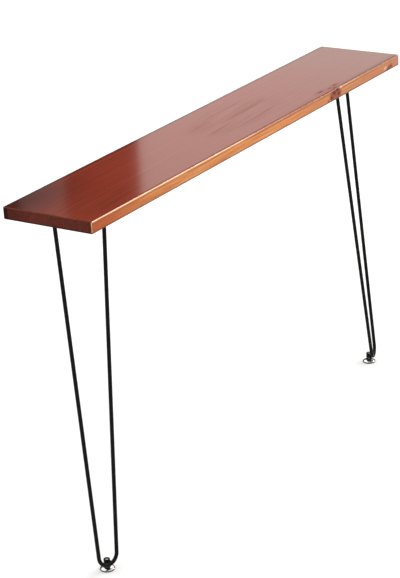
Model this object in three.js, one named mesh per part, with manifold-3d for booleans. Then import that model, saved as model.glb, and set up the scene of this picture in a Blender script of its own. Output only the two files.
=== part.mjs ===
// A narrow table that is fixed to a wall: a solid wood board on two hairpin legs with levelling feet,
// and angle brackets at the back. Millimetres, +Z up. The origin is on the floor under the middle of
// the board. +X runs along the board and +Y points at the wall, so the front edge is at -Y.
import * as THREE from "three";
import { mergeVertices } from "three/addons/utils/BufferGeometryUtils.js";
import Module from "manifold-3d";

// Driving dimensions
const tableLength = 1200;
const tableWidth = 200;
const tableHeight = 750;
const boardThickness = 24;

// Fits and cuts
const clearance = 0.3;
const cutOverrun = 2;
const mergeDistance = 0.001;

// Board edges
const edgeRadius = 2;
const cornerRadius = 3;

// Hairpin legs
const rodDiameter = 8;
const rodSpread = 114;
const bendRadius = 21.5;
const legInset = 97;
const legTurnDegrees = 18;
const legLeanDegrees = 4.6;
const weldLeg = 2.5;
const footShift = 3;

// Mounting plates at the tops of the legs
const plateThickness = 3;
const plateEndMargin = 18;
const plateBackLength = 64;
const plateFrontReach = 15;
const plateBackReach = 58;
const plateCornerRadius = 9;
const plateScrewMargin = 14;

// Wood screws
const screwBiteShare = 0.6;
const plateScrewDiameter = 4.5;
const plateScrewHeadDiameter = 9;
const plateScrewHeadHeight = 2.8;
const bracketScrewDiameter = 4;
const bracketScrewHeadDiameter = 8;
const bracketScrewHeadHeight = 2.6;

// Threaded bushes at the bends
const bushWall = 2.2;
const bushLength = 12;
const bushChamfer = 0.7;

// Levelling feet
const footDiameter = 30;
const baseHeight = 3.2;
const baseFloor = 1.6;
const baseLip = 0.8;
const baseChamfer = 0.5;
const capSheet = 1;
const capRimHeight = 1.5;
const capHeadroom = 1.1;
const capCrownMargin = 0.2;
const capShoulderWidth = 2.2;
const stemDiameter = 8;
const stemChamfer = 0.8;
const stemHeadFlange = 2;
const stemHeadHeight = 1.4;
const stemNeckStep = 0.3;
const hexAcrossFlats = 13;
const hexHeight = 2.5;
const stemStandoff = 2.8;
const stemTopDrop = 1.2;

// Angle brackets at the wall
const bracketInset = 300;
const bracketWidth = 32;
const bracketArm = 52;
const bracketSheet = 3;
const bracketBendRadius = 3;
const bracketCornerRadius = 8;
const bracketHoleMargin = 11;
const bracketHoleSpacing = 21;
const bracketHolePlay = 1.2;

// Facet counts
const rodSides = 24;
const bendSteps = 16;
const cornerSteps = 4;
const bevelSteps = 3;
const holeSides = 20;
const footSides = 40;
const stemSides = 24;
const screwSides = 14;
const domeSteps = 4;
const hexSides = 6;

// Values that follow from the sizes above
const boardUnderside = tableHeight - boardThickness;
const screwBite = boardThickness * screwBiteShare;
const plateUnderside = -clearance - plateThickness;
const plateFrontLength = rodSpread + 2 * plateEndMargin;
const rodRadius = rodDiameter / 2;
const legLean = THREE.MathUtils.degToRad(legLeanDegrees);
const legTurn = THREE.MathUtils.degToRad(legTurnDegrees);
const stemRadius = stemDiameter / 2;
const stemNeckRadius = stemRadius - stemNeckStep;
const stemHeadRadius = stemRadius + stemHeadFlange;
const footRadius = footDiameter / 2;
const capRadius = footRadius - baseLip - clearance;
const capBottom = baseFloor + clearance;
const headBottom = baseFloor + clearance;
const headTop = headBottom + stemHeadHeight;
const capTop = headTop + capHeadroom + capSheet;
const hexBottom = capTop + clearance;
const hexTop = hexBottom + hexHeight;
const bushBottom = hexTop + stemStandoff;
const bushTop = bushBottom + bushLength;
const bushBore = stemRadius + clearance;
const bushRadius = bushBore + bushWall;
const bendHeight = bushBottom + rodRadius;
const legDrop = (boardUnderside - bendHeight) / Math.cos(legLean);
const bracketHolePlaces = [
  bracketArm - bracketHoleMargin - bracketHoleSpacing,
  bracketArm - bracketHoleMargin,
];

const materials = {
  wood: new THREE.MeshStandardMaterial({ color: 0x8a3a28, roughness: 0.3, metalness: 0 }),
  blackSteel: new THREE.MeshStandardMaterial({ color: 0x141412, roughness: 0.45, metalness: 0.4 }),
  chrome: new THREE.MeshStandardMaterial({ color: 0xd9dadb, roughness: 0.15, metalness: 1 }),
  zinc: new THREE.MeshStandardMaterial({ color: 0xb4b3ad, roughness: 0.35, metalness: 1 }),
  plastic: new THREE.MeshStandardMaterial({ color: 0x101010, roughness: 0.6, metalness: 0 }),
};

const wasm = await Module();
wasm.setup();

// A closed geometry as a solid that can be joined and cut.
function solidOf(geometry) {
  const bare = geometry.index ? geometry.toNonIndexed() : geometry.clone();
  bare.deleteAttribute("normal");
  bare.deleteAttribute("uv");
  const merged = mergeVertices(bare, mergeDistance);
  const vertProperties = merged.attributes.position.array;
  const triVerts = new Uint32Array(merged.index.array);
  return new wasm.Manifold(new wasm.Mesh({ numProp: 3, vertProperties, triVerts }));
}

// A solid as a geometry with flat facets.
function geometryOf(solid) {
  const { vertProperties, triVerts } = solid.getMesh();
  const indexed = new THREE.BufferGeometry();
  indexed.setAttribute("position", new THREE.BufferAttribute(vertProperties, 3));
  indexed.setIndex(new THREE.BufferAttribute(triVerts, 1));
  const geometry = indexed.toNonIndexed();
  geometry.computeVertexNormals();
  return geometry;
}

function addMesh(parent, name, geometry, material) {
  const mesh = new THREE.Mesh(geometry, material);
  mesh.name = name;
  parent.add(mesh);
  return mesh;
}

// A lathe turned about Z. The profile holds [radius, height] pairs, up the outside of the piece.
function turned(profile, sides) {
  const points = profile.map(([radius, height]) => new THREE.Vector2(radius, height));
  return new THREE.LatheGeometry(points, sides).rotateX(Math.PI / 2);
}

// A round bar along Z from one height to another, with its axis at x, y.
function bar(radius, low, high, sides, x = 0, y = 0) {
  const cylinder = new THREE.CylinderGeometry(radius, radius, high - low, sides);
  return cylinder.rotateX(Math.PI / 2).translate(x, y, (low + high) / 2);
}

// A closed outline through corners, each rounded by its own radius.
function roundedOutline(corners) {
  const shape = new THREE.Shape();
  corners.forEach(({ point, radius }, i) => {
    const before = corners[(i + corners.length - 1) % corners.length].point;
    const after = corners[(i + 1) % corners.length].point;
    const towardsBefore = before.clone().sub(point).normalize();
    const towardsAfter = after.clone().sub(point).normalize();
    const halfAngle = Math.acos(towardsBefore.dot(towardsAfter)) / 2;
    const start = point.clone().addScaledVector(towardsBefore, radius / Math.tan(halfAngle));
    const bisector = towardsBefore.clone().add(towardsAfter).normalize();
    const centre = point.clone().addScaledVector(bisector, radius / Math.sin(halfAngle));
    const end = point.clone().addScaledVector(towardsAfter, radius / Math.tan(halfAngle));
    const from = start.clone().sub(centre).angle();
    const to = end.clone().sub(centre).angle();
    const turnsRight = towardsBefore.cross(towardsAfter) > 0;
    if (i === 0) shape.moveTo(start.x, start.y);
    else shape.lineTo(start.x, start.y);
    if (radius > 0) shape.absarc(centre.x, centre.y, radius, from, to, turnsRight);
  });
  shape.closePath();
  return shape;
}

function corner(x, y, radius) {
  return { point: new THREE.Vector2(x, y), radius };
}

// Where the screws of a plate go, in the leg's own frame: one between the rods, a pair halfway back
// and a pair near the back.
const middleScrewX = (plateFrontLength + plateBackLength) / 4 - plateScrewMargin;
const middleScrewY = (plateBackReach - plateFrontReach) / 2;
const backScrewX = plateBackLength / 2 - plateScrewMargin;
const backScrewY = plateBackReach - plateScrewMargin;
const plateScrewPlaces = [
  [0, 0],
  [-middleScrewX, middleScrewY],
  [middleScrewX, middleScrewY],
  [-backScrewX, backScrewY],
  [backScrewX, backScrewY],
];

// The leg's frame has its origin at the board's underside, X along the line between the two rod tops
// and Y towards the back. It is turned so that the outer rod stands further back than the inner one.
function legFrame() {
  const frame = new THREE.Group();
  frame.position.set(legInset - tableLength / 2, 0, boardUnderside);
  frame.rotation.z = -legTurn;
  return frame;
}

// A bracket's frame has its origin where the board's underside meets the wall.
function bracketFrame() {
  const frame = new THREE.Group();
  frame.position.set(bracketInset - tableLength / 2, tableWidth / 2, boardUnderside);
  return frame;
}

// The board, with its long and short edges rounded and the screw holes drilled from below.
function board() {
  const x = tableLength / 2;
  const y = tableWidth / 2;
  const outline = roundedOutline([
    corner(-x, -y, cornerRadius),
    corner(x, -y, cornerRadius),
    corner(x, y, cornerRadius),
    corner(-x, y, cornerRadius),
  ]);
  const slab = new THREE.ExtrudeGeometry(outline, {
    depth: boardThickness - 2 * edgeRadius,
    bevelThickness: edgeRadius,
    bevelSize: edgeRadius,
    bevelOffset: -edgeRadius,
    bevelSegments: bevelSteps,
    curveSegments: cornerSteps,
  }).translate(0, 0, boardUnderside + edgeRadius);

  let solid = solidOf(slab);
  const drill = (frame, [holeX, holeY], diameter) => {
    frame.updateMatrix();
    const place = new THREE.Vector3(holeX, holeY, 0).applyMatrix4(frame.matrix);
    const radius = diameter / 2 + clearance;
    const low = boardUnderside - cutOverrun;
    const high = boardUnderside + screwBite + clearance;
    for (const side of [1, -1]) {
      const hole = bar(radius, low, high, holeSides, side * place.x, place.y);
      solid = solid.subtract(solidOf(hole));
    }
  };
  for (const place of plateScrewPlaces) drill(legFrame(), place, plateScrewDiameter);
  for (const reach of bracketHolePlaces) drill(bracketFrame(), [0, -reach], bracketScrewDiameter);
  return geometryOf(solid);
}

// The centre line of a hairpin rod, in the plane that leans with the leg. The outer stretch runs square
// to the board, the bend is one arc, and the inner stretch is the tangent from the arc to its own place
// at the top. Each straight takes one step, and the arc takes the rest.
class HairpinPath extends THREE.Curve {
  constructor() {
    super();
    this.centreX = bendRadius - rodSpread / 2;
    this.centreDrop = legDrop - bendRadius;
    const across = rodSpread / 2 - this.centreX;
    const distance = Math.hypot(across, this.centreDrop);
    const tangentAngle = Math.atan2(this.centreDrop, across) - Math.acos(bendRadius / distance);
    this.sweep = Math.PI + tangentAngle;
  }

  inLegFrame(x, drop) {
    return new THREE.Vector3(x, -drop * Math.sin(legLean), -drop * Math.cos(legLean));
  }

  onBend(share) {
    const angle = Math.PI + share * this.sweep;
    const x = this.centreX + bendRadius * Math.cos(angle);
    return this.inLegFrame(x, this.centreDrop - bendRadius * Math.sin(angle));
  }

  getPoint(t) {
    const step = t * (bendSteps + 2);
    const outerTop = this.inLegFrame(-rodSpread / 2, 0);
    const innerTop = this.inLegFrame(rodSpread / 2, 0);
    if (step < 1) return outerTop.lerp(this.onBend(0), step);
    if (step > bendSteps + 1) return this.onBend(1).lerp(innerTop, step - bendSteps - 1);
    return this.onBend((step - 1) / bendSteps);
  }

  // The steps are already shared out by getPoint, so they aren't evened out along the length.
  getUtoTmapping(u) {
    return u;
  }
}

// The rod of one leg, cut level under its plate, with a weld fillet round each top.
function legRod() {
  const section = new THREE.Shape();
  for (let i = 0; i < rodSides; i++) {
    const angle = (2 * Math.PI * i) / rodSides;
    const x = rodRadius * Math.cos(angle);
    const y = rodRadius * Math.sin(angle);
    if (i === 0) section.moveTo(x, y);
    else section.lineTo(x, y);
  }
  section.closePath();
  const path = new HairpinPath();
  const bent = new THREE.ExtrudeGeometry(section, { steps: bendSteps + 2, extrudePath: path });

  const top = plateUnderside - clearance;
  const weldTops = [path.getPoint(0), path.getPoint(1)];
  const weldSlopes = [path.getTangent(0), path.getTangent(1)];
  let solid = solidOf(bent);
  weldTops.forEach((place, i) => {
    const slope = weldSlopes[i];
    const centre = place.clone().addScaledVector(slope, (top - place.z) / slope.z);
    const fillet = turned(
      [
        [0, -weldLeg],
        [rodRadius, -weldLeg],
        [rodRadius + weldLeg, 0],
        [0, 0],
      ],
      rodSides,
    ).translate(centre.x, centre.y, top);
    solid = solid.add(solidOf(fillet));
  });
  const margin = 2 * (rodDiameter + weldLeg);
  const above = new THREE.BoxGeometry(rodSpread + margin, margin, margin);
  above.translate(0, 0, top + margin / 2);
  return geometryOf(solid.subtract(solidOf(above)));
}

// The steel plate of one leg: a trapezium with round corners, its long side at the rods.
function legPlate() {
  const outline = roundedOutline([
    corner(-plateFrontLength / 2, -plateFrontReach, plateCornerRadius),
    corner(plateFrontLength / 2, -plateFrontReach, plateCornerRadius),
    corner(plateBackLength / 2, plateBackReach, plateCornerRadius),
    corner(-plateBackLength / 2, plateBackReach, plateCornerRadius),
  ]);
  const sheet = new THREE.ExtrudeGeometry(outline, {
    depth: plateThickness,
    bevelEnabled: false,
    curveSegments: cornerSteps,
  }).translate(0, 0, plateUnderside);
  let solid = solidOf(sheet);
  const radius = plateScrewDiameter / 2 + clearance;
  for (const [x, y] of plateScrewPlaces) {
    const hole = bar(radius, plateUnderside - cutOverrun, cutOverrun, holeSides, x, y);
    solid = solid.subtract(solidOf(hole));
  }
  return geometryOf(solid);
}

// A pan-head wood screw that points up through a sheet into the board, its head's flat side at z = 0.
function woodScrew(diameter, headDiameter, headHeight, sheet) {
  const headRadius = headDiameter / 2;
  const radius = diameter / 2;
  const length = sheet + 2 * clearance + screwBite;
  const dome = [];
  for (let i = 0; i <= domeSteps; i++) {
    const angle = (Math.PI / 2) * (i / domeSteps);
    dome.push([headRadius * Math.sin(angle), -headHeight * Math.cos(angle)]);
  }
  return turned([...dome, [radius, 0], [radius, length - diameter], [0, length]], screwSides);
}

// The threaded bush that is welded behind a bend, open at both ends, its foot level with the rod's.
function bush() {
  return turned(
    [
      [bushBore, bushBottom],
      [bushRadius - bushChamfer, bushBottom],
      [bushRadius, bushBottom + bushChamfer],
      [bushRadius, bushTop - bushChamfer],
      [bushRadius - bushChamfer, bushTop],
      [bushBore, bushTop],
      [bushBore, bushBottom],
    ],
    stemSides,
  );
}

// The stem of a levelling foot: a flat head held in the foot, a neck, a hexagon for a spanner and a stud.
function footStem() {
  const stemTop = bushTop - stemTopDrop;
  const hexMiddle = (hexBottom + hexTop) / 2;
  const round = turned(
    [
      [0, headBottom],
      [stemHeadRadius, headBottom],
      [stemHeadRadius, headTop],
      [stemNeckRadius, headTop],
      [stemNeckRadius, hexMiddle],
      [stemRadius, hexMiddle],
      [stemRadius, stemTop - stemChamfer],
      [stemRadius - stemChamfer, stemTop],
      [0, stemTop],
    ],
    stemSides,
  );
  const hexagon = bar(hexAcrossFlats / Math.sqrt(3), hexBottom, hexTop, hexSides);
  return geometryOf(solidOf(round).add(solidOf(hexagon)));
}

// The pressed steel cap of a foot: a crowned shell with a hole for the neck of the stem.
function footCap() {
  const holeRadius = stemNeckRadius + clearance;
  const crownRadius = stemHeadRadius + capCrownMargin;
  const shoulderRadius = capRadius - capShoulderWidth;
  const rimTop = capBottom + capRimHeight;
  const innerRadius = capRadius - capSheet;
  const innerTop = capTop - capSheet;
  const outside = new THREE.Path();
  outside.moveTo(capRadius, capBottom);
  outside.lineTo(capRadius, rimTop);
  outside.quadraticCurveTo(shoulderRadius, capTop, crownRadius, capTop);
  outside.lineTo(holeRadius, capTop);
  const inside = new THREE.Path();
  inside.moveTo(holeRadius, innerTop);
  inside.lineTo(crownRadius, innerTop);
  inside.quadraticCurveTo(shoulderRadius - capSheet, innerTop, innerRadius, rimTop - capSheet);
  inside.lineTo(innerRadius, capBottom);
  const profile = [...outside.getPoints(domeSteps), ...inside.getPoints(domeSteps)];
  profile.push(profile[0].clone());
  return turned(profile.map((point) => [point.x, point.y]), footSides);
}

// The plastic base of a foot: a shallow dish whose lip holds the cap.
function footBase() {
  return turned(
    [
      [0, 0],
      [footRadius - baseChamfer, 0],
      [footRadius, baseChamfer],
      [footRadius, baseHeight],
      [footRadius - baseLip, baseHeight],
      [footRadius - baseLip, baseFloor],
      [0, baseFloor],
    ],
    footSides,
  );
}

// An angle bracket: one strip of steel bent square, with round corners at its ends and two holes an arm.
function wallBracket() {
  const arm = bracketArm;
  const sheet = bracketSheet;
  const outer = bracketBendRadius + sheet;
  const top = -clearance;
  const elbow = roundedOutline([
    corner(0, top, outer),
    corner(-arm, top, 0),
    corner(-arm, top - sheet, 0),
    corner(-sheet, top - sheet, bracketBendRadius),
    corner(-sheet, top - arm, 0),
    corner(0, top - arm, 0),
  ]);
  const strip = new THREE.ExtrudeGeometry(elbow, {
    depth: bracketWidth,
    bevelEnabled: false,
    curveSegments: cornerSteps,
  });
  strip.rotateY(Math.PI / 2).rotateX(Math.PI / 2).translate(-bracketWidth / 2, 0, 0);

  const half = bracketWidth / 2;
  const flank = () =>
    new THREE.ExtrudeGeometry(
      roundedOutline([
        corner(-half, -arm, bracketCornerRadius),
        corner(half, -arm, bracketCornerRadius),
        corner(half, cutOverrun, 0),
        corner(-half, cutOverrun, 0),
      ]),
      { depth: arm + 2 * cutOverrun, bevelEnabled: false, curveSegments: cornerSteps },
    );
  const plan = flank().translate(0, 0, top - arm - cutOverrun);
  const elevation = flank().rotateX(Math.PI / 2).translate(0, cutOverrun, top);
  let solid = solidOf(strip).intersect(solidOf(plan)).intersect(solidOf(elevation));
  const radius = (bracketScrewDiameter + bracketHolePlay) / 2;
  for (const reach of bracketHolePlaces) {
    const upright = bar(radius, top - sheet - cutOverrun, top + cutOverrun, holeSides, 0, -reach);
    const level = bar(radius, -sheet - cutOverrun, cutOverrun, holeSides, 0, reach).rotateX(-Math.PI / 2);
    solid = solid.subtract(solidOf(upright)).subtract(solidOf(level));
  }
  return geometryOf(solid);
}

// The leg, its screws and its foot, all for the end of the table at -X. The bush sits a little way along
// the bend from its lowest point, towards the inner stretch.
function addLeg(parent, side) {
  const frame = legFrame();
  parent.add(frame);
  addMesh(frame, `leg_rod_${side}`, legRod(), materials.blackSteel);
  addMesh(frame, `leg_plate_${side}`, legPlate(), materials.blackSteel);
  const screw = woodScrew(
    plateScrewDiameter,
    plateScrewHeadDiameter,
    plateScrewHeadHeight,
    plateThickness,
  );
  plateScrewPlaces.forEach(([x, y], i) => {
    const mesh = addMesh(frame, `leg_screw_${side}_${i + 1}`, screw, materials.zinc);
    mesh.position.set(x, y, plateUnderside - clearance);
  });

  const path = new HairpinPath();
  const lowest = path.inLegFrame(path.centreX, legDrop);
  const behindRod = rodRadius + clearance + bushRadius;
  const foot = new THREE.Group();
  foot.position.set(lowest.x + footShift, lowest.y + behindRod, -boardUnderside);
  frame.add(foot);
  addMesh(foot, `leg_bush_${side}`, bush(), materials.blackSteel);
  addMesh(foot, `foot_stem_${side}`, footStem(), materials.zinc);
  addMesh(foot, `foot_cap_${side}`, footCap(), materials.chrome);
  addMesh(foot, `foot_base_${side}`, footBase(), materials.plastic);
}

// A bracket with its screws, for the half of the table at -X.
function addBracket(parent, side) {
  const frame = bracketFrame();
  parent.add(frame);
  addMesh(frame, `wall_bracket_${side}`, wallBracket(), materials.blackSteel);
  const screw = woodScrew(
    bracketScrewDiameter,
    bracketScrewHeadDiameter,
    bracketScrewHeadHeight,
    bracketSheet,
  );
  bracketHolePlaces.forEach((reach, i) => {
    const mesh = addMesh(frame, `bracket_screw_${side}_${i + 1}`, screw, materials.zinc);
    mesh.position.set(0, -reach, -bracketSheet - 2 * clearance);
  });
}

const table = new THREE.Group();
addMesh(table, "tabletop", board(), materials.wood);
for (const [side, mirror] of [["left", 1], ["right", -1]]) {
  const half = new THREE.Group();
  half.scale.x = mirror;
  table.add(half);
  addLeg(half, side);
  addBracket(half, side);
}

export default table;
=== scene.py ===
# %% [markdown]
# A narrow wall table: a lacquered board of reddish wood on two black hairpin legs, each with a chromed
# levelling foot, and two hidden angle brackets that hold its back edge to the wall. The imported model
# gives every piece its place. This lesson replaces its facets with smooth, finished pieces, and gives
# each one a material made of nodes.

# %% Load the fixed model
import math

import bmesh
import bpy
from mathutils import Matrix, Vector


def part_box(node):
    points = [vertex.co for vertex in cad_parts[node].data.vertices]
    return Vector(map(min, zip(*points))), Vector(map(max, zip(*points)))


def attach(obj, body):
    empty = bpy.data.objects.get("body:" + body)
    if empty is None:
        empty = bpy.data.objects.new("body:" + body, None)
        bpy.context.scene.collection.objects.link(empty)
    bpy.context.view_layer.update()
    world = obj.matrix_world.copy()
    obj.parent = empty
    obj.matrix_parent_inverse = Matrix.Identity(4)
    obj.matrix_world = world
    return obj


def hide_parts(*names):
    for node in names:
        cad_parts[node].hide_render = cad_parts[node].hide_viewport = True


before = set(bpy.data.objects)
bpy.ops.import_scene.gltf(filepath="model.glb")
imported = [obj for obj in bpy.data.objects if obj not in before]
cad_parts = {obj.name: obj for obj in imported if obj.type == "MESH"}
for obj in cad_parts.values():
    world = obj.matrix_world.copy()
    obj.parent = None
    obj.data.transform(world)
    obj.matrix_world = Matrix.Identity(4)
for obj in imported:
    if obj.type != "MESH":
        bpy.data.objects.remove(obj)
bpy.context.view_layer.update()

# %% [markdown]
# Everything is in metres. The sizes are the ones the solids were made from, so a smooth piece fits where
# its faceted one was. Each leg has a frame of its own: its origin is under the board between the tops of
# the rods, X runs along the line between them and Y towards the wall. The right leg is the left one
# mirrored.

# %% Sizes and frames
MM = 0.001
BOARD_LOW, BOARD_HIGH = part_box("tabletop")
BOARD_LENGTH, BOARD_WIDTH, BOARD_THICKNESS = BOARD_HIGH - BOARD_LOW
UNDERSIDE = BOARD_LOW.z
HALF_LENGTH, HALF_WIDTH = BOARD_LENGTH / 2, BOARD_WIDTH / 2
EDGE_RADIUS = 2 * MM
CORNER_RADIUS = 3 * MM

ROD_RADIUS = 4 * MM
ROD_SPREAD = 114 * MM
BEND_RADIUS = 21.5 * MM
LEG_INSET = 97 * MM
LEG_TURN = math.radians(18)
LEG_LEAN = math.radians(4.6)
BEND_HEIGHT = 15 * MM

PLATE_TOP = -0.3 * MM
PLATE_SHEET = 3 * MM
PLATE_UNDERSIDE = PLATE_TOP - PLATE_SHEET

SIDES = LEFT, RIGHT = "left", "right"


def side_matrix(side, frame_matrix):
    """A frame of the left half, or its mirror image for the right half."""
    return frame_matrix if side == LEFT else Matrix.Diagonal((-1, 1, 1, 1)) @ frame_matrix


def leg_matrix(side):
    """The leg's own frame, from under the board to the row's frame."""
    origin = Matrix.Translation((BOARD_LOW.x + LEG_INSET, 0, UNDERSIDE))
    return side_matrix(side, origin @ Matrix.Rotation(-LEG_TURN, 4, "Z"))


def foot_matrix(side):
    """The levelling foot's own frame, on the floor under its stem."""
    low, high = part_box(f"foot_base_{side}")
    return Matrix.Translation(((low.x + high.x) / 2, (low.y + high.y) / 2, 0))


print("board in mm:", [round(v / MM, 1) for v in (BOARD_LENGTH, BOARD_WIDTH, BOARD_THICKNESS)])

# %% [markdown]
# Node trees are long to write out by hand. Here the output of a node can be added, multiplied and so on as
# a number can, and each such sum adds the node that works it out, so a material reads as a list of what is
# done to the surface.

# %% Helpers for node trees
class Output:
    """The output of a node. A sum or product with it is the output of a new node."""

    def __init__(self, socket):
        self.socket, self.tree = socket, socket.id_data

    def __add__(self, other):
        return maths("ADD", self, other)

    def __sub__(self, other):
        return maths("SUBTRACT", self, other)

    def __rsub__(self, other):
        return maths("SUBTRACT", other, self)

    def __mul__(self, other):
        return maths("MULTIPLY", self, other)

    def __truediv__(self, other):
        return maths("DIVIDE", self, other)

    def __rtruediv__(self, other):
        return maths("DIVIDE", other, self)

    def __neg__(self):
        return maths("MULTIPLY", self, -1.0)

    def __abs__(self):
        return maths("ABSOLUTE", self)


def put(tree, kind, inputs=None, **settings):
    """Adds a node, sets its options, and links or sets its inputs by name or number."""
    node = tree.nodes.new(kind)
    for name, value in settings.items():
        setattr(node, name, value)
    for key, value in (inputs or {}).items():
        if isinstance(value, Output):
            tree.links.new(value.socket, node.inputs[key])
        else:
            node.inputs[key].default_value = value
    return node


def output_of(tree, kind, inputs=None, output=0, **settings):
    """Adds a node and gives one of its outputs."""
    return Output(put(tree, kind, inputs, **settings).outputs[output])


def outputs_of(node):
    return {socket.name: Output(socket) for socket in node.outputs}


def maths(operation, *values):
    tree = next(value.tree for value in values if isinstance(value, Output))
    return output_of(tree, "ShaderNodeMath", dict(enumerate(values)), operation=operation)


def vector_maths(operation, vector, *values, output="Vector", **others):
    inputs = {**dict(enumerate((vector, *values))), **others}
    return output_of(vector.tree, "ShaderNodeVectorMath", inputs, output, operation=operation)


print("node helpers:", [made.__name__ for made in (put, output_of, outputs_of, maths, vector_maths)])

# %% [markdown]
# The nodes that are used most get a short function each. In them, place is where a point lies, in metres.
# Divided by a size, it becomes a coordinate in units of a pattern, so every pattern's size is a real one.

# %% The nodes that are used most
def ramp(value, low, high, start=0.0, end=1.0):
    """Goes smoothly from start to end while the value goes from low to high."""
    inputs = {0: value, 1: low, 2: high, 3: start, 4: end}
    return output_of(value.tree, "ShaderNodeMapRange", inputs, interpolation_type="SMOOTHSTEP")


def between(value, low, high, soft):
    """1 between two values, 0 outside, with soft ends."""
    return ramp(value, low - soft, low) * ramp(value, high, high + soft, 1.0, 0.0)


def clamped(value):
    return output_of(value.tree, "ShaderNodeClamp", {"Value": value})


def largest(*values):
    found = values[0]
    for value in values[1:]:
        found = maths("MAXIMUM", found, value)
    return found


def tint(share, first, second):
    """Mixes two colours, each an output or its red, green and blue."""
    first, second = ((*c, 1) if isinstance(c, tuple) else c for c in (first, second))
    return output_of(share.tree, "ShaderNodeMix", {0: share, 6: first, 7: second}, 2, data_type="RGBA")


def noise(place, detail=2.0, roughness=0.5, distortion=0.0):
    values = {"Scale": 1.0, "Detail": detail, "Roughness": roughness, "Distortion": distortion}
    return output_of(place.tree, "ShaderNodeTexNoise", {"Vector": place, **values})


def stretch(place, x, y, z):
    """Coordinates in units of a pattern's own size along each axis."""
    return vector_maths("MULTIPLY", place, (1 / x, 1 / y, 1 / z))


def sized(place, size):
    """Coordinates in units of one size, which can be an output too."""
    return vector_maths("SCALE", place, Scale=1.0 / size)


def split(vector):
    return list(outputs_of(put(vector.tree, "ShaderNodeSeparateXYZ", {0: vector})).values())


def bump(height, strength, distance):
    inputs = {"Height": height, "Strength": strength, "Distance": distance}
    return output_of(height.tree, "ShaderNodeBump", inputs)


def new_material(name):
    """An empty material and its Object coordinates."""
    material = bpy.data.materials.new(name)
    material.use_nodes = True
    material.node_tree.nodes.clear()
    return material, output_of(material.node_tree, "ShaderNodeTexCoord", output="Object")


def close_material(material, inputs):
    shader = output_of(material.node_tree, "ShaderNodeBsdfPrincipled", inputs)
    put(material.node_tree, "ShaderNodeOutputMaterial", {"Surface": shader})
    return material


print("node functions:", [made.__name__ for made in (ramp, between, tint, noise, stretch, bump)])

# %% [markdown]
# Some effects turn up on several finishes: the faint orange-peel skin of anything sprayed or moulded, the
# dust that settles on what faces up, and the smears that hands and cloths leave on gloss. Each is a node
# group, so that it is made once and placed in a material with that material's own values.

# %% Shared effects
VECTOR, FLOAT = "NodeSocketVector", "NodeSocketFloat"
FINE_SHARE = 0.31
SPECK_SIZE, DRIFT_SIZE = 1.2 * MM, 30 * MM


def new_group(name, inputs, outputs):
    """A group that puts out numbers. An input with no default is a vector, and the rest are numbers."""
    group = bpy.data.node_groups.new(name, "ShaderNodeTree")
    for label, value in inputs.items():
        kind = VECTOR if value is None else FLOAT
        socket = group.interface.new_socket(label, in_out="INPUT", socket_type=kind)
        if value is not None:
            socket.default_value = value
    for label in outputs:
        group.interface.new_socket(label, in_out="OUTPUT", socket_type=FLOAT)
    return group, outputs_of(put(group, "NodeGroupInput"))


def close_group(group, outputs):
    put(group, "NodeGroupOutput", outputs)
    return group


def use(group, place, **inputs):
    """Places a group in the material that the coordinates belong to."""
    return outputs_of(put(place.tree, "ShaderNodeGroup", {"Place": place, **inputs}, node_tree=group))


def sprayed_skin_group():
    group, given = new_group("sprayed skin", {"Place": None, "Size": 0.001}, ["Height"])
    place = sized(given["Place"], given["Size"])
    return close_group(group, {"Height": noise(sized(place, FINE_SHARE)) * 0.35 + noise(place, detail=1.0)})


def settled_dust_group():
    group, given = new_group("settled dust", {"Place": None, "Amount": 0.5}, ["Mask"])
    place = given["Place"]
    lying = ramp(split(output_of(group, "ShaderNodeNewGeometry", output="Normal"))[2], 0.15, 0.95)
    drift = ramp(noise(sized(place, DRIFT_SIZE), detail=3.0), 0.35, 0.75)
    specks = ramp(noise(sized(place, SPECK_SIZE)), 0.55, 0.75)
    return close_group(group, {"Mask": clamped((specks * 0.5 + drift) * lying * given["Amount"])})


def smears_group():
    inputs = {"Place": None, "Size": 0.02, "Clean": 0.1, "Smeared": 0.3}
    group, given = new_group("smears", inputs, ["Roughness"])
    clean, smeared = given["Clean"], given["Smeared"]
    cloud = noise(sized(given["Place"], given["Size"]), detail=4.0, roughness=0.6, distortion=0.8)
    return close_group(group, {"Roughness": ramp(cloud, 0.42, 0.78) * (smeared - clean) + clean})


SPRAYED_SKIN = sprayed_skin_group()
SETTLED_DUST = settled_dust_group()
SMEARS = smears_group()
print("shared effects:", [group.name for group in bpy.data.node_groups])

# %% [markdown]
# The legs, plates, bushes and brackets are steel under a satin black powder coat. It is close to black,
# with a soft highlight, a slight orange peel and a little pale dust on what faces up. A Principled shader
# with a low index of refraction keeps the rods as dark as the coat looks in soft light.

# %% Black coat
PALE_DUST = (0.16, 0.15, 0.135)


def black_coat():
    material, place = new_material("black_coat")
    skin = use(SPRAYED_SKIN, place, Size=1.1 * MM)["Height"]
    dust = use(SETTLED_DUST, place, Amount=0.1)["Mask"]
    cloud = noise(stretch(place, 0.05, 0.05, 0.12), detail=3.0)
    black = tint(cloud, (0.0018, 0.0018, 0.0020), (0.0042, 0.0041, 0.0038))
    worn = use(SMEARS, place, Size=35 * MM, Clean=0.3, Smeared=0.42)["Roughness"]
    inputs = {
        "Base Color": tint(dust, black, PALE_DUST),
        "Roughness": dust * 0.4 + worn,
        "IOR": 1.18,
        "Normal": bump(skin, 0.35, 0.06 * MM),
    }
    return close_material(material, inputs)


BLACK_COAT = black_coat()
print("black coat nodes:", len(BLACK_COAT.node_tree.nodes))

# %% [markdown]
# The caps are chromed. The screws and stems are zinc-plated, which is duller and cloudier. A stem's neck
# and hexagon are painted black below the thread, as painted shade for the dark under the bush and the rod,
# so its zinc has a height below which it turns black.

# %% Chrome and zinc
PAINTED_SHADE_LINE = 9.5 * MM
PAINTED_SHADE_SOFT = 0.3 * MM
PAINTED_SHADE_BLACK = (0.020, 0.020, 0.022)


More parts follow.
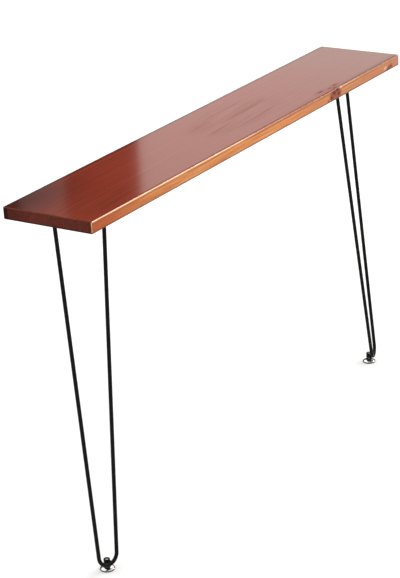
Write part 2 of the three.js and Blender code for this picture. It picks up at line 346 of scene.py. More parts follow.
def chrome():
    material, place = new_material("chrome")
    cloud = noise(stretch(place, 0.008, 0.008, 0.004), detail=3.0)
    skin = use(SPRAYED_SKIN, place, Size=1.6 * MM)["Height"]
    inputs = {
        "Base Color": tint(cloud, (0.80, 0.81, 0.83), (0.88, 0.88, 0.87)),
        "Metallic": 1.0,
        "Roughness": use(SMEARS, place, Size=9 * MM, Clean=0.05, Smeared=0.22)["Roughness"],
        "Normal": bump(skin, 0.12, 0.04 * MM),
    }
    return close_material(material, inputs)


def bright_zinc(name, shade_line=None):
    """Zinc plate, painted black below the given height as painted shade."""
    material, place = new_material(name)
    cloud = noise(stretch(place, 0.004, 0.004, 0.003), detail=4.0, distortion=0.6)
    colour = tint(ramp(cloud, 0.35, 0.7), (0.56, 0.57, 0.60), (0.70, 0.68, 0.62))
    if shade_line is not None:
        # Painted shade: below the line the zinc turns black.
        painted_shade_below = ramp(split(place)[2], shade_line - PAINTED_SHADE_SOFT, shade_line + PAINTED_SHADE_SOFT, 0.95, 0.0)
        colour = tint(painted_shade_below, colour, PAINTED_SHADE_BLACK)
    skin = use(SPRAYED_SKIN, place, Size=0.4 * MM)["Height"]
    inputs = {
        "Base Color": colour,
        "Metallic": 1.0,
        "Roughness": use(SMEARS, place, Size=3 * MM, Clean=0.2, Smeared=0.42)["Roughness"],
        "Normal": bump(skin, 0.2, 0.02 * MM),
    }
    return close_material(material, inputs)


CHROME = chrome()
BRIGHT_ZINC = bright_zinc("bright_zinc")
STEM_ZINC = bright_zinc("stem_zinc", PAINTED_SHADE_LINE)
print("bright finishes:", [made.name for made in (CHROME, BRIGHT_ZINC, STEM_ZINC)])

# %% [markdown]
# The bases are black plastic with a fine moulded grain. They are pale along the top of the lip, partly
# scuffed where feet and brooms knock it and partly a painted highlight, and dust lies on them.

# %% Black plastic
LIP_LOW, LIP_HIGH = 2.4 * MM, 3 * MM
PALE_SCUFF_AND_HIGHLIGHT = (0.52, 0.51, 0.49)


def black_plastic():
    material, place = new_material("black_plastic")
    grain = use(SPRAYED_SKIN, place, Size=0.3 * MM)["Height"]
    dust = use(SETTLED_DUST, place, Amount=0.5)["Mask"]
    black = tint(noise(sized(place, 12 * MM)), (0.013, 0.013, 0.014), (0.024, 0.024, 0.023))
    patchy = ramp(noise(sized(place, 6 * MM)), 0.3, 0.6, 0.55, 0.95)
    # The pale top of the lip is partly scuffs and partly a painted highlight.
    dust_scuff_and_highlight = largest(dust, ramp(split(place)[2], LIP_LOW, LIP_HIGH) * patchy)
    inputs = {
        "Base Color": tint(dust_scuff_and_highlight, black, PALE_SCUFF_AND_HIGHLIGHT),
        "Roughness": ramp(grain, 0.3, 1.0, 0.48, 0.66),
        "Normal": bump(grain, 0.5, 0.05 * MM),
    }
    return close_material(material, inputs)


BLACK_PLASTIC = black_plastic()
print("metal and plastic finishes:", len(bpy.data.materials))

# %% [markdown]
# The board is glued from five long staves and cut across all of them, so each face shows the same wood
# from another side. A flat picture of grain can't do that, but a solid texture can. Every stave has its
# own pith, and the distance from it, warped a little, gives the growth rings: long streaks on top, lines
# along the front edge and arcs on the end. Fibres are noise drawn out along the board, and pores are the
# finest of them.

# %% Growth rings and fibres
STAVES = 5
STAVE_WIDTH = BOARD_WIDTH / STAVES
RING_SPACING = 3.1 * MM
PITH_SWAY, PITH_SLOPE = 50 * MM, 0.014
PITH_DEPTH, PITH_DEPTH_RANGE = 28 * MM, 70 * MM
RING_WANDER, KNOT_PULL = 7 * MM, 6 * MM


def growth_rings(place, pull):
    """The late wood of each year, 0 to 1, and a chance value of each glued stave."""
    x, y, z = split(place)
    stave = maths("FLOOR", y / STAVE_WIDTH)
    chance = output_of(place.tree, "ShaderNodeTexWhiteNoise", {"W": stave}, "Color", noise_dimensions="1D")
    sideways, depth, slope = split(chance)
    across = y - ((sideways - 0.5) * PITH_SWAY + (stave + 0.5) * STAVE_WIDTH)
    sunk = depth * PITH_DEPTH_RANGE + PITH_DEPTH
    up = z - (x * ((slope - 0.5) * PITH_SLOPE) + UNDERSIDE - sunk)
    wander = noise(stretch(vector_maths("ADD", place, chance), 0.8, 0.08, 0.08), detail=3.0) - 0.5
    radius = maths("SQRT", across * across + up * up) + wander * RING_WANDER + pull * KNOT_PULL
    year = maths("FRACT", radius / RING_SPACING)
    return ramp(year, 0.3, 0.9) * ramp(year, 0.9, 1.0, 1.0, 0.0), sideways


def fibre(place, length, width, detail=2.0):
    """Streaks that run along the board."""
    return noise(stretch(place, length, width, width), detail=detail, roughness=0.6)


def grain_of(place, x, on_end, late, chance):
    """How light the wood is on the top and the ends, the same on the edges, and the pores."""
    calm = 1.0 - on_end * 0.8
    lively = ramp(x, -0.35, 0.0, 1.0, 0.25)
    long_streak = fibre(place, 0.7, 0.007, detail=3.0) - 0.5
    short_streak = (fibre(place, 0.30, 0.0018) - 0.5) * calm * lively
    edge_streak = fibre(place, 0.07, 0.0030, detail=3.0) - 0.5
    pore = ramp(fibre(place, 0.018, 0.0005), 0.60, 0.72) * calm
    tone = long_streak * 0.75 + short_streak * 0.65 + (chance - 0.5) * 0.14 + 0.62
    tone = clamped(tone - late * (on_end * 0.36 + lively * 0.14) - pore * 0.22)
    return tone, clamped(tone + edge_streak * 1.5 - late * 0.10), pore


print("staves:", STAVES, "of", round(STAVE_WIDTH / MM, 1), "mm")

# %% [markdown]
# A knot bends the rings round it, has a dark heart and stains the wood about it. One group does this for
# every knot, and its spread draws a knot out along the board: a little on the front edge, and far on the
# top, where the saw met the branch at a low slant.

# %% Knots
KNOTS = {  # along from the middle, in from the front edge, below the top, and size, in mm
    "front edge heart": (297, 0, 7.5, 8.5),
    "front edge low left": (285, 0, 15.5, 6.5),
    "front edge high right": (311, 0.5, 4, 6.5),
    "front edge right": (317, 0, 13, 7),
    "front edge pin": (271, 0, 19.5, 3.5),
    "top pin": (302, 15, 0, 6),
    "top swirl": (312, 7.5, 0, 7),
    "top swirl tip": (330, 17, 0, 7.5),
    "top smudge": (270, 19, 0, 8),
    "far edge low": (543.5, 0, 20.2, 6),
    "far edge middle": (551.5, 0, 17.8, 6.5),
    "far edge high": (560, 0, 16.2, 5.5),
    "underside middle": (-180, 130, 24, 9),
    "back edge": (130, 200, 13, 7),
}
ALONG_THE_EDGE, ALONG_THE_TOP = (1.6, 1.0, 1.0), (3.2, 0.8, 1.0)


def on_board(along, inward, below):
    return (along * MM, BOARD_LOW.y + inward * MM, BOARD_HIGH.z - below * MM)


def knot_group():
    """Bends the rings round a knot, and masks its dark heart and the stained wood about it."""
    inputs = {"Place": None, "Centre": None, "Spread": None, "Size": 0.005, "Ragged": 0.5}
    group, given = new_group("knot", inputs, ["Pull", "Heart", "Halo"])
    offset = vector_maths("SUBTRACT", given["Place"], given["Centre"])
    near = sized(vector_maths("DIVIDE", offset, given["Spread"]), given["Size"])
    distance = vector_maths("LENGTH", near, output="Value") - 0.4 + given["Ragged"] * 0.8
    outputs = {
        "Pull": ramp(distance, 0.2, 2.6, 1.0, 0.0),
        "Heart": ramp(distance, 0.15, 0.65, 1.0, 0.0),
        "Halo": ramp(distance, 0.5, 1.6, 1.0, 0.0),
    }
    return close_group(group, outputs)


KNOT = knot_group()


def knots_in(place, ragged):
    """The pull, heart and halo of all knots together."""
    found = []
    for along, inward, below, size in KNOTS.values():
        spread = ALONG_THE_EDGE if below else ALONG_THE_TOP
        centre = on_board(along, inward, below)
        found.append(use(KNOT, place, Centre=centre, Spread=spread, Size=size * MM, Ragged=ragged))
    return [largest(*(knot[part] for knot in found)) for part in ("Pull", "Heart", "Halo")]


print("knots:", len(KNOTS))

# %% [markdown]
# Other spots are ragged ovals: wood that drank more or less of the stain, a light spot on the broken arris
# beside the knots that is partly a painted highlight, and two fields of open grain, whose dark lines run at
# a slight slant.

# %% Patches and open grain
PATCHES = [  # the same three places as a knot's, the reach along each axis in mm, and the colour
    ((303, 0, 11), (27, 6, 18), (0.300, 0.0750, 0.0400)),
    ((588, 0, 10), (16, 6, 12), (0.430, 0.1700, 0.1200)),
    ((534.5, 0, 15), (9, 4, 4), (0.720, 0.3500, 0.2100)),
    # Light spot on the broken arris: bare wood, and partly a painted highlight.
    ((327, 1, 2.2), (7, 3, 3), (0.760, 0.4000, 0.2700)),
]
OPEN_GRAIN = [  # the three places, the reach in mm, and how dark its lines are
    ((50, 100, 0), (160, 65, 30), 0.38),
    ((-510, 60, 0), (100, 55, 30), 0.80),
]
GRAIN_SLANT = 0.07


def patch(place, ragged, centre, reach):
    """1 inside a ragged oval, 0 outside."""
    offset = vector_maths("SUBTRACT", place, on_board(*centre))
    near = stretch(offset, *(size * MM for size in reach))
    return ramp(vector_maths("LENGTH", near, output="Value") + ragged * 0.7, 1.05, 1.45, 1.0, 0.0)


def open_grain(place, ragged):
    """Dark lines at a slight slant, where the pores of the top lie open."""
    x, y, z = split(place)
    slanted = {0: x, 1: y - x * GRAIN_SLANT, 2: z}
    aslant = output_of(place.tree, "ShaderNodeCombineXYZ", slanted)
    combed = ramp(noise(stretch(aslant, 0.20, 0.0036, 0.03)), 0.46, 0.66)
    figured = [patch(place, ragged, centre, reach) * most for centre, reach, most in OPEN_GRAIN]
    return combed * largest(*figured)


print("patches:", len(PATCHES), "and fields of open grain:", len(OPEN_GRAIN))

# %% [markdown]
# The top and the ends are stained a deep red brown, and the front edge, which took less of the stain, stays
# a warm orange, redder at the near end and under the arris. Light is painted over the stains: the top is
# paler and greyer towards the far end, and the front edge greyer, as painted sheen; a painted shadow
# darkens the back corner of the near end; painted shade draws a dark line along the back arris and darkens
# the far corner of the front edge and the outline of the ends, which are the darkest. Each face is a mix of
# two colours by the grain, with the other stains and the painted light laid over it.

# %% Stains of the faces, with painted light
def top_stain_and_painted_light(x, y, tone):
    colour = tint(tone, (0.160, 0.0230, 0.0120), (0.292, 0.0470, 0.0250))
    # Painted shadow over the back corner of the near end.
    painted_shadow_corner = ramp(y, -0.05, 0.090) * ramp(x, -0.57, -0.33, 0.85, 0.0)
    colour = tint(painted_shadow_corner, colour, (0.040, 0.0055, 0.0035))
    # Painted sheen: the top turns paler and greyer towards the far end.
    far_end_painted_sheen = ramp(x, 0.20, 0.60, 0.0, 0.65)
    colour = tint(far_end_painted_sheen, colour, (0.195, 0.0750, 0.0580))
    # Painted shade: a dark line along the back arris.
    painted_shade_back_line = ramp(y, HALF_WIDTH - 12.5 * MM, HALF_WIDTH - 7.5 * MM, 0.0, 0.55)
    return tint(painted_shade_back_line, colour, (0.0300, 0.0140, 0.0120))


def edge_stain_and_painted_light(place, x, z, tone):
    colour = tint(tone, (0.400, 0.1000, 0.0220), (0.745, 0.3250, 0.1050))
    near_end = ramp(x, -0.60, -0.33, 0.9, 0.0)
    colour = tint(near_end, colour, (0.370, 0.0700, 0.0130))
    # Painted sheen: the front edge turns greyer towards the far end.
    far_end_painted_sheen = ramp(x, 0.0, 0.60, 0.0, 0.8)
    colour = tint(far_end_painted_sheen, colour, (0.440, 0.1700, 0.0800))
    line_low, line_high = BOARD_HIGH.z - 6.2 * MM, BOARD_HIGH.z - 4.4 * MM
    # A patchy, darker red band runs under the arris.
    under_arris_patches = ramp(noise(stretch(place, 0.09, 0.01, 0.01)), 0.35, 0.6, 0.25, 0.65)
    under_arris = between(z, line_low, line_high, 1 * MM) * under_arris_patches
    soft_arris = between(x, 0.06, 0.30, 0.10) * ramp(z, line_low, line_high) * 0.45
    colour = tint(largest(under_arris, soft_arris), colour, (0.280, 0.0650, 0.0220))
    # Painted shade: the far corner of the front edge darkens where it turns away.
    painted_shade_far_corner = ramp(x, HALF_LENGTH - 10 * MM, HALF_LENGTH - 3 * MM, 0.0, 0.6)
    return tint(painted_shade_far_corner, colour, (0.160, 0.0800, 0.0600))


def end_stain_and_painted_shade(y, z, tone):
    colour = tint(tone, (0.055, 0.0100, 0.0065), (0.165, 0.0390, 0.0270))
    towards_back = ramp(y, 0.03, HALF_WIDTH, 0.0, 0.55)
    colour = tint(towards_back, colour, (0.045, 0.0080, 0.0060))
    # Painted shade along the back edge of the end.
    painted_shade_back_line = ramp(y, HALF_WIDTH - 14 * MM, HALF_WIDTH - 8 * MM, 0.0, 0.85)
    colour = tint(painted_shade_back_line, colour, (0.0100, 0.0050, 0.0035))
    # Painted shade along the front and lower outline of the end.
    front_line = ramp(y, 5 * MM - HALF_WIDTH, 8 * MM - HALF_WIDTH, 0.8, 0.0)
    colour = tint(front_line, colour, (0.0500, 0.0080, 0.0035))
    low_line = ramp(z, UNDERSIDE + 2.4 * MM, UNDERSIDE + 4.4 * MM, 0.7, 0.0)
    return tint(low_line, colour, (0.0220, 0.0090, 0.0075))


print("stains:", [made.__name__ for made in (top_stain_and_painted_light, edge_stain_and_painted_light, end_stain_and_painted_shade)])

# %% [markdown]
# The arrises are where a table ages and where the light gathers. Hands and cloths have rubbed the stain
# thin there, and a painted highlight lies on the rubbed wood: a cream line runs along the front arris,
# clear at the near end, fading towards the middle and starting again beyond the knots. Beside it, under it
# and round the ends, dark, dull lines of painted shade lie on the wood.

# %% Worn arrises, painted highlight and painted shade
def inside_of(value, half):
    """How near a point is to a pair of faces: 1 on the face, 0 where the edge round starts."""
    return (abs(value) - (half - EDGE_RADIUS)) / EDGE_RADIUS


def worn_and_highlit_arris(place, x, y, z):
    """Where the stain is rubbed thin, with a painted highlight over the rub."""
    above = z - (BOARD_LOW.z + BOARD_HIGH.z) / 2
    near_end, near_side = inside_of(x, HALF_LENGTH), inside_of(y, HALF_WIDTH)
    near_top = inside_of(above, BOARD_THICKNESS / 2)
    long_arris = ramp(near_side, 0.35, 0.7) * ramp(BOARD_HIGH.z - z, 2.1 * MM, 3.1 * MM, 1.0, 0.0)
    beyond_knot = between(x, 0.330, 0.400, 0.02) * 0.5
    long_arris = long_arris * largest(ramp(x, -0.17, 0.02, 1.0, 0.05), beyond_knot)
    corner = ramp(maths("MINIMUM", near_end, near_side), 0.1, 0.45) * ramp(x, -0.5, 0.5, 0.8, 0.1)
    short_arris = ramp(maths("MINIMUM", near_end, near_top), 0.2, 0.6, 0.0, 0.07)
    upper = ramp(above, -11 * MM, -8 * MM)
    patchy = ramp(noise(stretch(place, 0.03, 0.008, 0.008), detail=3.0), 0.25, 0.6, 0.6, 1.0)
    return clamped(largest(long_arris, corner, short_arris) * upper * patchy)


def arris_painted_shade(place, x, y, z, on_edge, on_end):
    """Painted shade: dark, dull lines beside the front arris, along the lower arris and across the ends of
    the top, and a darker strip along the front of the top.
    """
    beside = between(-y, HALF_WIDTH - 4.8 * MM, HALF_WIDTH - 2 * MM, 0.8 * MM) * 0.65
    strip = ramp(y, -0.097, -0.080, 0.22, 0.0) * ramp(x, 0.05, 0.20) * (1.0 - on_edge)
    low = ramp(z, UNDERSIDE + 1.2 * MM, UNDERSIDE + 5 * MM, 0.75, 0.0) * (1.0 - on_end)
    low = low * ramp(z, UNDERSIDE + 0.1 * MM, UNDERSIDE + 0.5 * MM)
    across = between(abs(x), HALF_LENGTH - 2.4 * MM, HALF_LENGTH - 0.2 * MM, 0.6 * MM)
    across = across * ramp(z, BOARD_HIGH.z - 2.4 * MM, BOARD_HIGH.z - 1.8 * MM)
    torn = ramp(noise(stretch(place, 0.02, 0.0045, 0.02)), 0.4, 0.6, 0.45, 0.95)
    return largest(beside, strip, low, across * torn)


print("edge round in mm:", round(EDGE_RADIUS / MM, 1))

# %% [markdown]
# A clear lacquer lies over it all: it is the Coat of the shader, smooth and glossy on top, so a bright
# window or lamp draws a pale sheen over it and a fine line along the rounded arris. The sawn edges and
# ends, the knots and the dark lines soaked most of the lacquer up and are much duller.

# %% Lacquered wood
BARE_WOOD_AND_HIGHLIGHT = (0.86, 0.56, 0.34)
STAIN_AND_PAINTED_SHADE_DARK = (0.120, 0.0280, 0.0130)
KNOT_HALO = (0.190, 0.0400, 0.0220)
HEART_ON_TOP, HEART_ON_EDGE = (0.160, 0.0200, 0.0130), (0.070, 0.0150, 0.0090)


def lacquered_wood():
    material, place = new_material("lacquered_wood")
    x, y, z = split(place)
    on_edge = ramp(abs(y), HALF_WIDTH - 0.5 * MM, HALF_WIDTH - 0.1 * MM)
    on_end = ramp(abs(x), HALF_LENGTH - 1.6 * MM, HALF_LENGTH - 0.6 * MM)
    ragged = noise(stretch(place, 0.005, 0.0022, 0.0022))
    pull, heart, halo = knots_in(place, ragged)
    late, chance = growth_rings(place, pull)
    tone, edge_tone, pore = grain_of(place, x, on_end, late, chance)

    colour = tint(on_edge, top_stain_and_painted_light(x, y, tone), edge_stain_and_painted_light(place, x, z, edge_tone))
    colour = tint(on_end, colour, end_stain_and_painted_shade(y, z, tone))
    for centre, reach, taken in PATCHES:
        colour = tint(patch(place, ragged, centre, reach) * 0.9, colour, taken)
    colour = tint(halo * 0.45, colour, KNOT_HALO)
    colour = tint(heart * 0.85, colour, tint(on_edge, HEART_ON_TOP, HEART_ON_EDGE))
    # The cream line is rubbed wood with a painted highlight over it.
    colour = tint(worn_and_highlit_arris(place, x, y, z) * (1.0 - halo * 0.8), colour, BARE_WOOD_AND_HIGHLIGHT)
    # Painted shade along the arrises, and the real dark lines of open grain.
    painted_shade_and_open_grain = largest(arris_painted_shade(place, x, y, z, on_edge, on_end), open_grain(place, ragged))

    dull = largest(painted_shade_and_open_grain, heart * (0.95 - on_edge * 0.25), halo * 0.3)
    gloss = clamped((1.0 - on_edge * 0.6 - on_end * 0.9) * (1.0 - dull * 0.8))
    skin = use(SPRAYED_SKIN, place, Size=3.5 * MM)["Height"]
    inputs = {
        "Base Color": tint(painted_shade_and_open_grain, colour, STAIN_AND_PAINTED_SHADE_DARK),
        "Roughness": use(SMEARS, place, Size=90 * MM, Clean=0.42, Smeared=0.55)["Roughness"],
        "Specular IOR Level": 0.0,
        "Coat Weight": gloss,
        "Coat Roughness": 0.1,
        "Coat IOR": 1.42,
        "Normal": bump(skin * 0.5 - pore * 0.6, 0.3, 0.05 * MM),
    }
    return close_material(material, inputs)


LACQUERED_WOOD = lacquered_wood()
print("wood nodes:", len(LACQUERED_WOOD.node_tree.nodes))

# %% [markdown]
# Every rigid piece starts as points in code, and most are rings of points joined into a skin. When a mesh
# is made, its doubles are merged, its faces are turned outwards and its flat edges stay sharp. The last
# helper gives a piece its finish, the body that it rides on and the solids that it stands for.

# %% Helpers for meshes
FULL_TURN = 2 * math.pi
MERGE_DISTANCE = 1e-7


def bridge(bm, rings):
    """Joins closed rings of the same number of vertices with quads."""
    for low, high in zip(rings, rings[1:]):
        count = len(low)
        for i in range(count):
            j = (i + 1) % count
            bm.faces.new((low[i], low[j], high[j], high[i]))


def ring_of(bm, points):
    return [bm.verts.new(point) for point in points]


def circle(radius, count, x=0.0, y=0.0):
    return [
        (x + radius * math.cos(FULL_TURN * i / count), y + radius * math.sin(FULL_TURN * i / count))
        for i in range(count)
    ]


def to_mesh(name, bm):
    mesh = bpy.data.meshes.new(name)
    bm.to_mesh(mesh)
    bm.free()
    return mesh


def add_object(name, data):
    made = bpy.data.objects.new(name, data)
    bpy.context.scene.collection.objects.link(made)
    return made


def finished(bm, name, matrix=None, sharp_degrees=32):
    """A piece from a mesh in the making: placed, its doubles merged and its faces turned outwards."""
    if matrix is not None:
        bm.transform(matrix)
    bmesh.ops.remove_doubles(bm, verts=bm.verts, dist=MERGE_DISTANCE)
    bmesh.ops.recalc_face_normals(bm, faces=bm.faces)
    mesh = to_mesh(name, bm)
    mesh.shade_smooth()
    mesh.set_sharp_from_angle(angle=math.radians(sharp_degrees))
    return add_object(name, mesh)


def dress(piece, material, body, slot, *nodes):
    """Gives a piece its finish, the body it rides on and the solids that it stands for."""
    piece.data.materials.clear()
    piece.data.materials.append(material)
    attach(piece, body)
    if nodes:
        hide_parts(*nodes)
    low = [min(v.co[i] for v in piece.data.vertices) / MM for i in range(3)]
    high = [max(v.co[i] for v in piece.data.vertices) / MM for i in range(3)]
    size = [[round(v, 1) for v in corner] for corner in (low, high)]
    print(piece.name, "mm", *size, len(piece.data.polygons))


print("mesh helpers:", [made.__name__ for made in (bridge, ring_of, circle, finished, dress)])

# %% [markdown]
# The board is one slab with a small round along every edge. The round matters more than its two
# millimetres suggest, because it catches the light as a thin line. It is built as rings that climb from
# the underside to the top, each a little wider or narrower. Two extra rings and extra points close to each
# corner keep the big faces perfectly flat under smooth shading.

# %% The board
ROUND_STEPS = 8
KEEP_FLAT = 0.25 * MM


def board_outline(inset):
    corners = [
        (-HALF_LENGTH, -HALF_WIDTH),
        (HALF_LENGTH, -HALF_WIDTH),
        (HALF_LENGTH, HALF_WIDTH),
        (-HALF_LENGTH, HALF_WIDTH),
    ]
    points = []
    for i, (x, y) in enumerate(corners):
        centre = Vector((x - math.copysign(CORNER_RADIUS, x), y - math.copysign(CORNER_RADIUS, y)))
        first = math.pi + i * math.pi / 2
        arc = [first + (math.pi / 2) * k / ROUND_STEPS for k in range(ROUND_STEPS + 1)]
        reach = CORNER_RADIUS - inset
        arc_points = [centre + reach * Vector((math.cos(a), math.sin(a))) for a in arc]
        into = Vector((math.cos(first + math.pi / 2), math.sin(first + math.pi / 2))) * KEEP_FLAT
        out_of = Vector((-math.sin(arc[-1]), math.cos(arc[-1]))) * KEEP_FLAT
        points += [arc_points[0] - into, *arc_points, arc_points[-1] + out_of]
    return points


def board_rings():
    """(inset, height) pairs from the underside to the top."""
    quarter = [math.pi / 2 * k / ROUND_STEPS for k in range(ROUND_STEPS + 1)]
    low = [
        (EDGE_RADIUS * (1 - math.sin(a)), BOARD_LOW.z + EDGE_RADIUS * (1 - math.cos(a))) for a in quarter
    ]
    high = [(inset, BOARD_LOW.z + BOARD_HIGH.z - height) for inset, height in reversed(low)]
    flat = [(0.0, low[-1][1] + KEEP_FLAT), (0.0, high[0][1] - KEEP_FLAT)]
    first = (EDGE_RADIUS + KEEP_FLAT, BOARD_LOW.z)
    last = (EDGE_RADIUS + KEEP_FLAT, BOARD_HIGH.z)
    return [first, *low, *flat, *high, last]


bm = bmesh.new()
rings = [ring_of(bm, [(p.x, p.y, height) for p in board_outline(inset)]) for inset, height in board_rings()]
bridge(bm, rings)
bm.faces.new(reversed(rings[0]))
bm.faces.new(rings[-1])
dress(finished(bm, "board"), LACQUERED_WOOD, "table", "wood", "tabletop")

# %% [markdown]
# Geometry Nodes make what repeats or follows a path. A tree takes a bare line or bare points, has named
# inputs for its sizes, and ends by making instances real and setting the finish. The result is turned into
# a plain mesh straight away, so that nothing live is left on a piece.

# %% Helpers for Geometry Nodes
GEOMETRY, INTEGER = "NodeSocketGeometry", "NodeSocketInt"
OBJECT, MATERIAL = "NodeSocketObject", "NodeSocketMaterial"


def new_tree(name, inputs):
    tree = bpy.data.node_groups.new(name, "GeometryNodeTree")
    tree.interface.new_socket("Source", in_out="INPUT", socket_type=GEOMETRY)
    for label, kind in {**inputs, "Finish": MATERIAL}.items():
        tree.interface.new_socket(label, in_out="INPUT", socket_type=kind)
    tree.interface.new_socket("Made", in_out="OUTPUT", socket_type=GEOMETRY)
    return tree, outputs_of(put(tree, "NodeGroupInput"))


def close_tree(tree, given, geometry):
    """Every tree ends the same way: instances made real, then the finish."""
    real = output_of(tree, "GeometryNodeRealizeInstances", {"Geometry": geometry})
    painted = output_of(tree, "GeometryNodeSetMaterial", {"Geometry": real, "Material": given["Finish"]})
    put(tree, "NodeGroupOutput", {"Made": painted})
    return tree


def line_mesh(name, points, closed=False, joined=True):
    """A bare line through points, or only the points."""
    edges = [(i, i + 1) for i in range(len(points) - 1)] if joined else []
    if closed:
        edges.append((len(points) - 1, 0))
    mesh = bpy.data.meshes.new(name)
    mesh.from_pydata([tuple(p) for p in points], edges, [])
    return mesh


def baked(maker):
    """What an object's modifiers make of it, as a mesh in the making. The object itself goes."""
    bpy.context.view_layer.update()
    depsgraph = bpy.context.evaluated_depsgraph_get()
    mesh = bpy.data.meshes.new_from_object(maker.evaluated_get(depsgraph))
    bpy.data.objects.remove(maker)
    bm = bmesh.new()
    bm.from_mesh(mesh)
    bpy.data.meshes.remove(mesh)
    return bm


def grown(name, source, tree, values):
    """Runs a tree on a bare line or points and gives the result as a mesh in the making."""
    maker = add_object(name, source)
    modifier = maker.modifiers.new("grow", "NODES")
    modifier.node_group = tree
    for item in tree.interface.items_tree:
        if item.item_type == "SOCKET" and item.in_out == "INPUT" and item.name in values:
            modifier[item.identifier] = values[item.name]
    bm = baked(maker)
    bpy.data.meshes.remove(source)
    return bm


def add_to(bm, other, matrix=None):
    """Moves one mesh in the making into another."""
    if matrix is not None:
        other.transform(matrix)
    carrier = to_mesh("carrier", other)
    bm.from_mesh(carrier)
    bpy.data.meshes.remove(carrier)


print("geometry node helpers:", [made.__name__ for made in (new_tree, close_tree, baked, grown, add_to)])

# %% [markdown]
# Each leg is one rod bent like a hairpin, so it is a circle carried along a line. The outer stretch runs
# straight down, the bend is a single arc, and the inner stretch is the tangent from that arc back to the
# plate. The tree turns the line into a curve and sweeps the circle along it.

# %% Hairpin rods
BEND_STEPS = 56
ROD_SIDES = 40
ROD_INTO_PLATE = 0.6 * MM


def in_leg_frame(x, drop):
    """A point of the leg's leaning plane, by its distance down from the board."""
    return Vector((x, -drop * math.sin(LEG_LEAN), -drop * math.cos(LEG_LEAN)))


def hairpin_line():
    leg_drop = (UNDERSIDE - BEND_HEIGHT) / math.cos(LEG_LEAN)
    centre_x = BEND_RADIUS - ROD_SPREAD / 2
    centre_drop = leg_drop - BEND_RADIUS
    across = ROD_SPREAD / 2 - centre_x
    distance = math.hypot(across, centre_drop)
    sweep = math.pi + math.atan2(centre_drop, across) - math.acos(BEND_RADIUS / distance)
    start_drop = -(PLATE_UNDERSIDE + ROD_INTO_PLATE) / math.cos(LEG_LEAN)
    end_share = start_drop / centre_drop
    line = [in_leg_frame(-ROD_SPREAD / 2, start_drop)]
    for k in range(BEND_STEPS + 1):
        angle = math.pi + sweep * k / BEND_STEPS
        x = centre_x + BEND_RADIUS * math.cos(angle)
        line.append(in_leg_frame(x, centre_drop - BEND_RADIUS * math.sin(angle)))
    line.append(in_leg_frame(ROD_SPREAD / 2, 0).lerp(line[-1], end_share))
    return line


def swept_rod_tree():
    tree, given = new_tree("swept rod", {"Radius": FLOAT, "Sides": INTEGER})
    line = output_of(tree, "GeometryNodeMeshToCurve", {"Mesh": given["Source"]})
    sizes = {"Resolution": given["Sides"], "Radius": given["Radius"]}
    profile = output_of(tree, "GeometryNodeCurvePrimitiveCircle", sizes)
    inputs = {"Curve": line, "Profile Curve": profile, "Fill Caps": True}
    return close_tree(tree, given, output_of(tree, "GeometryNodeCurveToMesh", inputs))


SWEPT_ROD = swept_rod_tree()
ROD_LINE = hairpin_line()
print("rod line:", len(ROD_LINE), "points")

# %% [markdown]
# A welder runs a bead round each rod where it meets the plate, and the bead cools in overlapping scales.
# Each scale is a small flattened ball, and a tree sets them nose to tail along a ring. The same tree makes
# the short beads that hold the threaded bush to the bend.

# %% Weld beads
BEAD = 1.7 * MM
BEAD_STEP = 0.85 * MM
BEAD_OUT_SHARE, BEAD_DOWN_SHARE = 0.45, 0.4
BEAD_LEAST, BEAD_MOST = (0.55, 0.9, 0.9), (0.75, 1.08, 1.08)
BEAD_RING_POINTS = 48
ROD_ENDS = [(0, 1, 3), (-1, -2, 8)]  # a point of the rod's line, the next one inwards, and a seed


def weld_bead_tree():
    tree, given = new_tree("weld bead", {"Bead": FLOAT, "Step": FLOAT, "Seed": INTEGER})
    line = output_of(tree, "GeometryNodeMeshToCurve", {"Mesh": given["Source"]})
    inputs = {"Curve": line, "Length": given["Step"]}
    points = output_of(tree, "GeometryNodeResampleCurve", inputs, mode="LENGTH")
    tangent = output_of(tree, "GeometryNodeInputTangent")
    turn = output_of(tree, "FunctionNodeAlignRotationToVector", {"Vector": tangent}, axis="X")
    ball = output_of(tree, "GeometryNodeMeshIcoSphere", {"Radius": given["Bead"], "Subdivisions": 3})
    inputs = {"Min": BEAD_LEAST, "Max": BEAD_MOST, "Seed": given["Seed"]}
    uneven = output_of(tree, "FunctionNodeRandomValue", inputs, data_type="FLOAT_VECTOR")
    inputs = {"Points": points, "Instance": ball, "Rotation": turn, "Scale": uneven}
    return close_tree(tree, given, output_of(tree, "GeometryNodeInstanceOnPoints", inputs))


WELD_BEAD = weld_bead_tree()


def weld(line, closed, seed):
    source = line_mesh("weld_line", line, closed=closed)
    values = {"Bead": BEAD, "Step": BEAD_STEP, "Seed": seed, "Finish": BLACK_COAT}
    return grown("weld", source, WELD_BEAD, values)


def ring_round_rod(index, after):
    """A ring at the plate, round the rod's end, widened a little along the lean."""
    end, towards = ROD_LINE[index], ROD_LINE[after]
    slope = (towards - end) / (towards.z - end.z)
    height = PLATE_UNDERSIDE - BEAD_DOWN_SHARE * BEAD
    centre = end + slope * (height - end.z)
    reach = ROD_RADIUS + BEAD_OUT_SHARE * BEAD
    return [centre + Vector((x, y, 0)) for x, y in circle(reach, BEAD_RING_POINTS)]


for side in SIDES:
    source = line_mesh("rod_line", ROD_LINE)
    values = {"Radius": ROD_RADIUS, "Sides": ROD_SIDES, "Finish": BLACK_COAT}
    bm = grown("rod", source, SWEPT_ROD, values)
    for index, after, seed in ROD_ENDS:
        add_to(bm, weld(ring_round_rod(index, after), True, seed))
    piece = finished(bm, f"hairpin_{side}", leg_matrix(side), sharp_degrees=50)
    dress(piece, BLACK_COAT, "table", "black_steel", f"leg_rod_{side}")

# %% [markdown]
# Plates and brackets are cut from sheet steel, so one helper makes both. Their outline has round corners,
# and is stacked four times, with the first and last a little smaller, which breaks the cut edges as a file
# would. The holes are rings stacked the same way, and the two faces are filled between the rims.

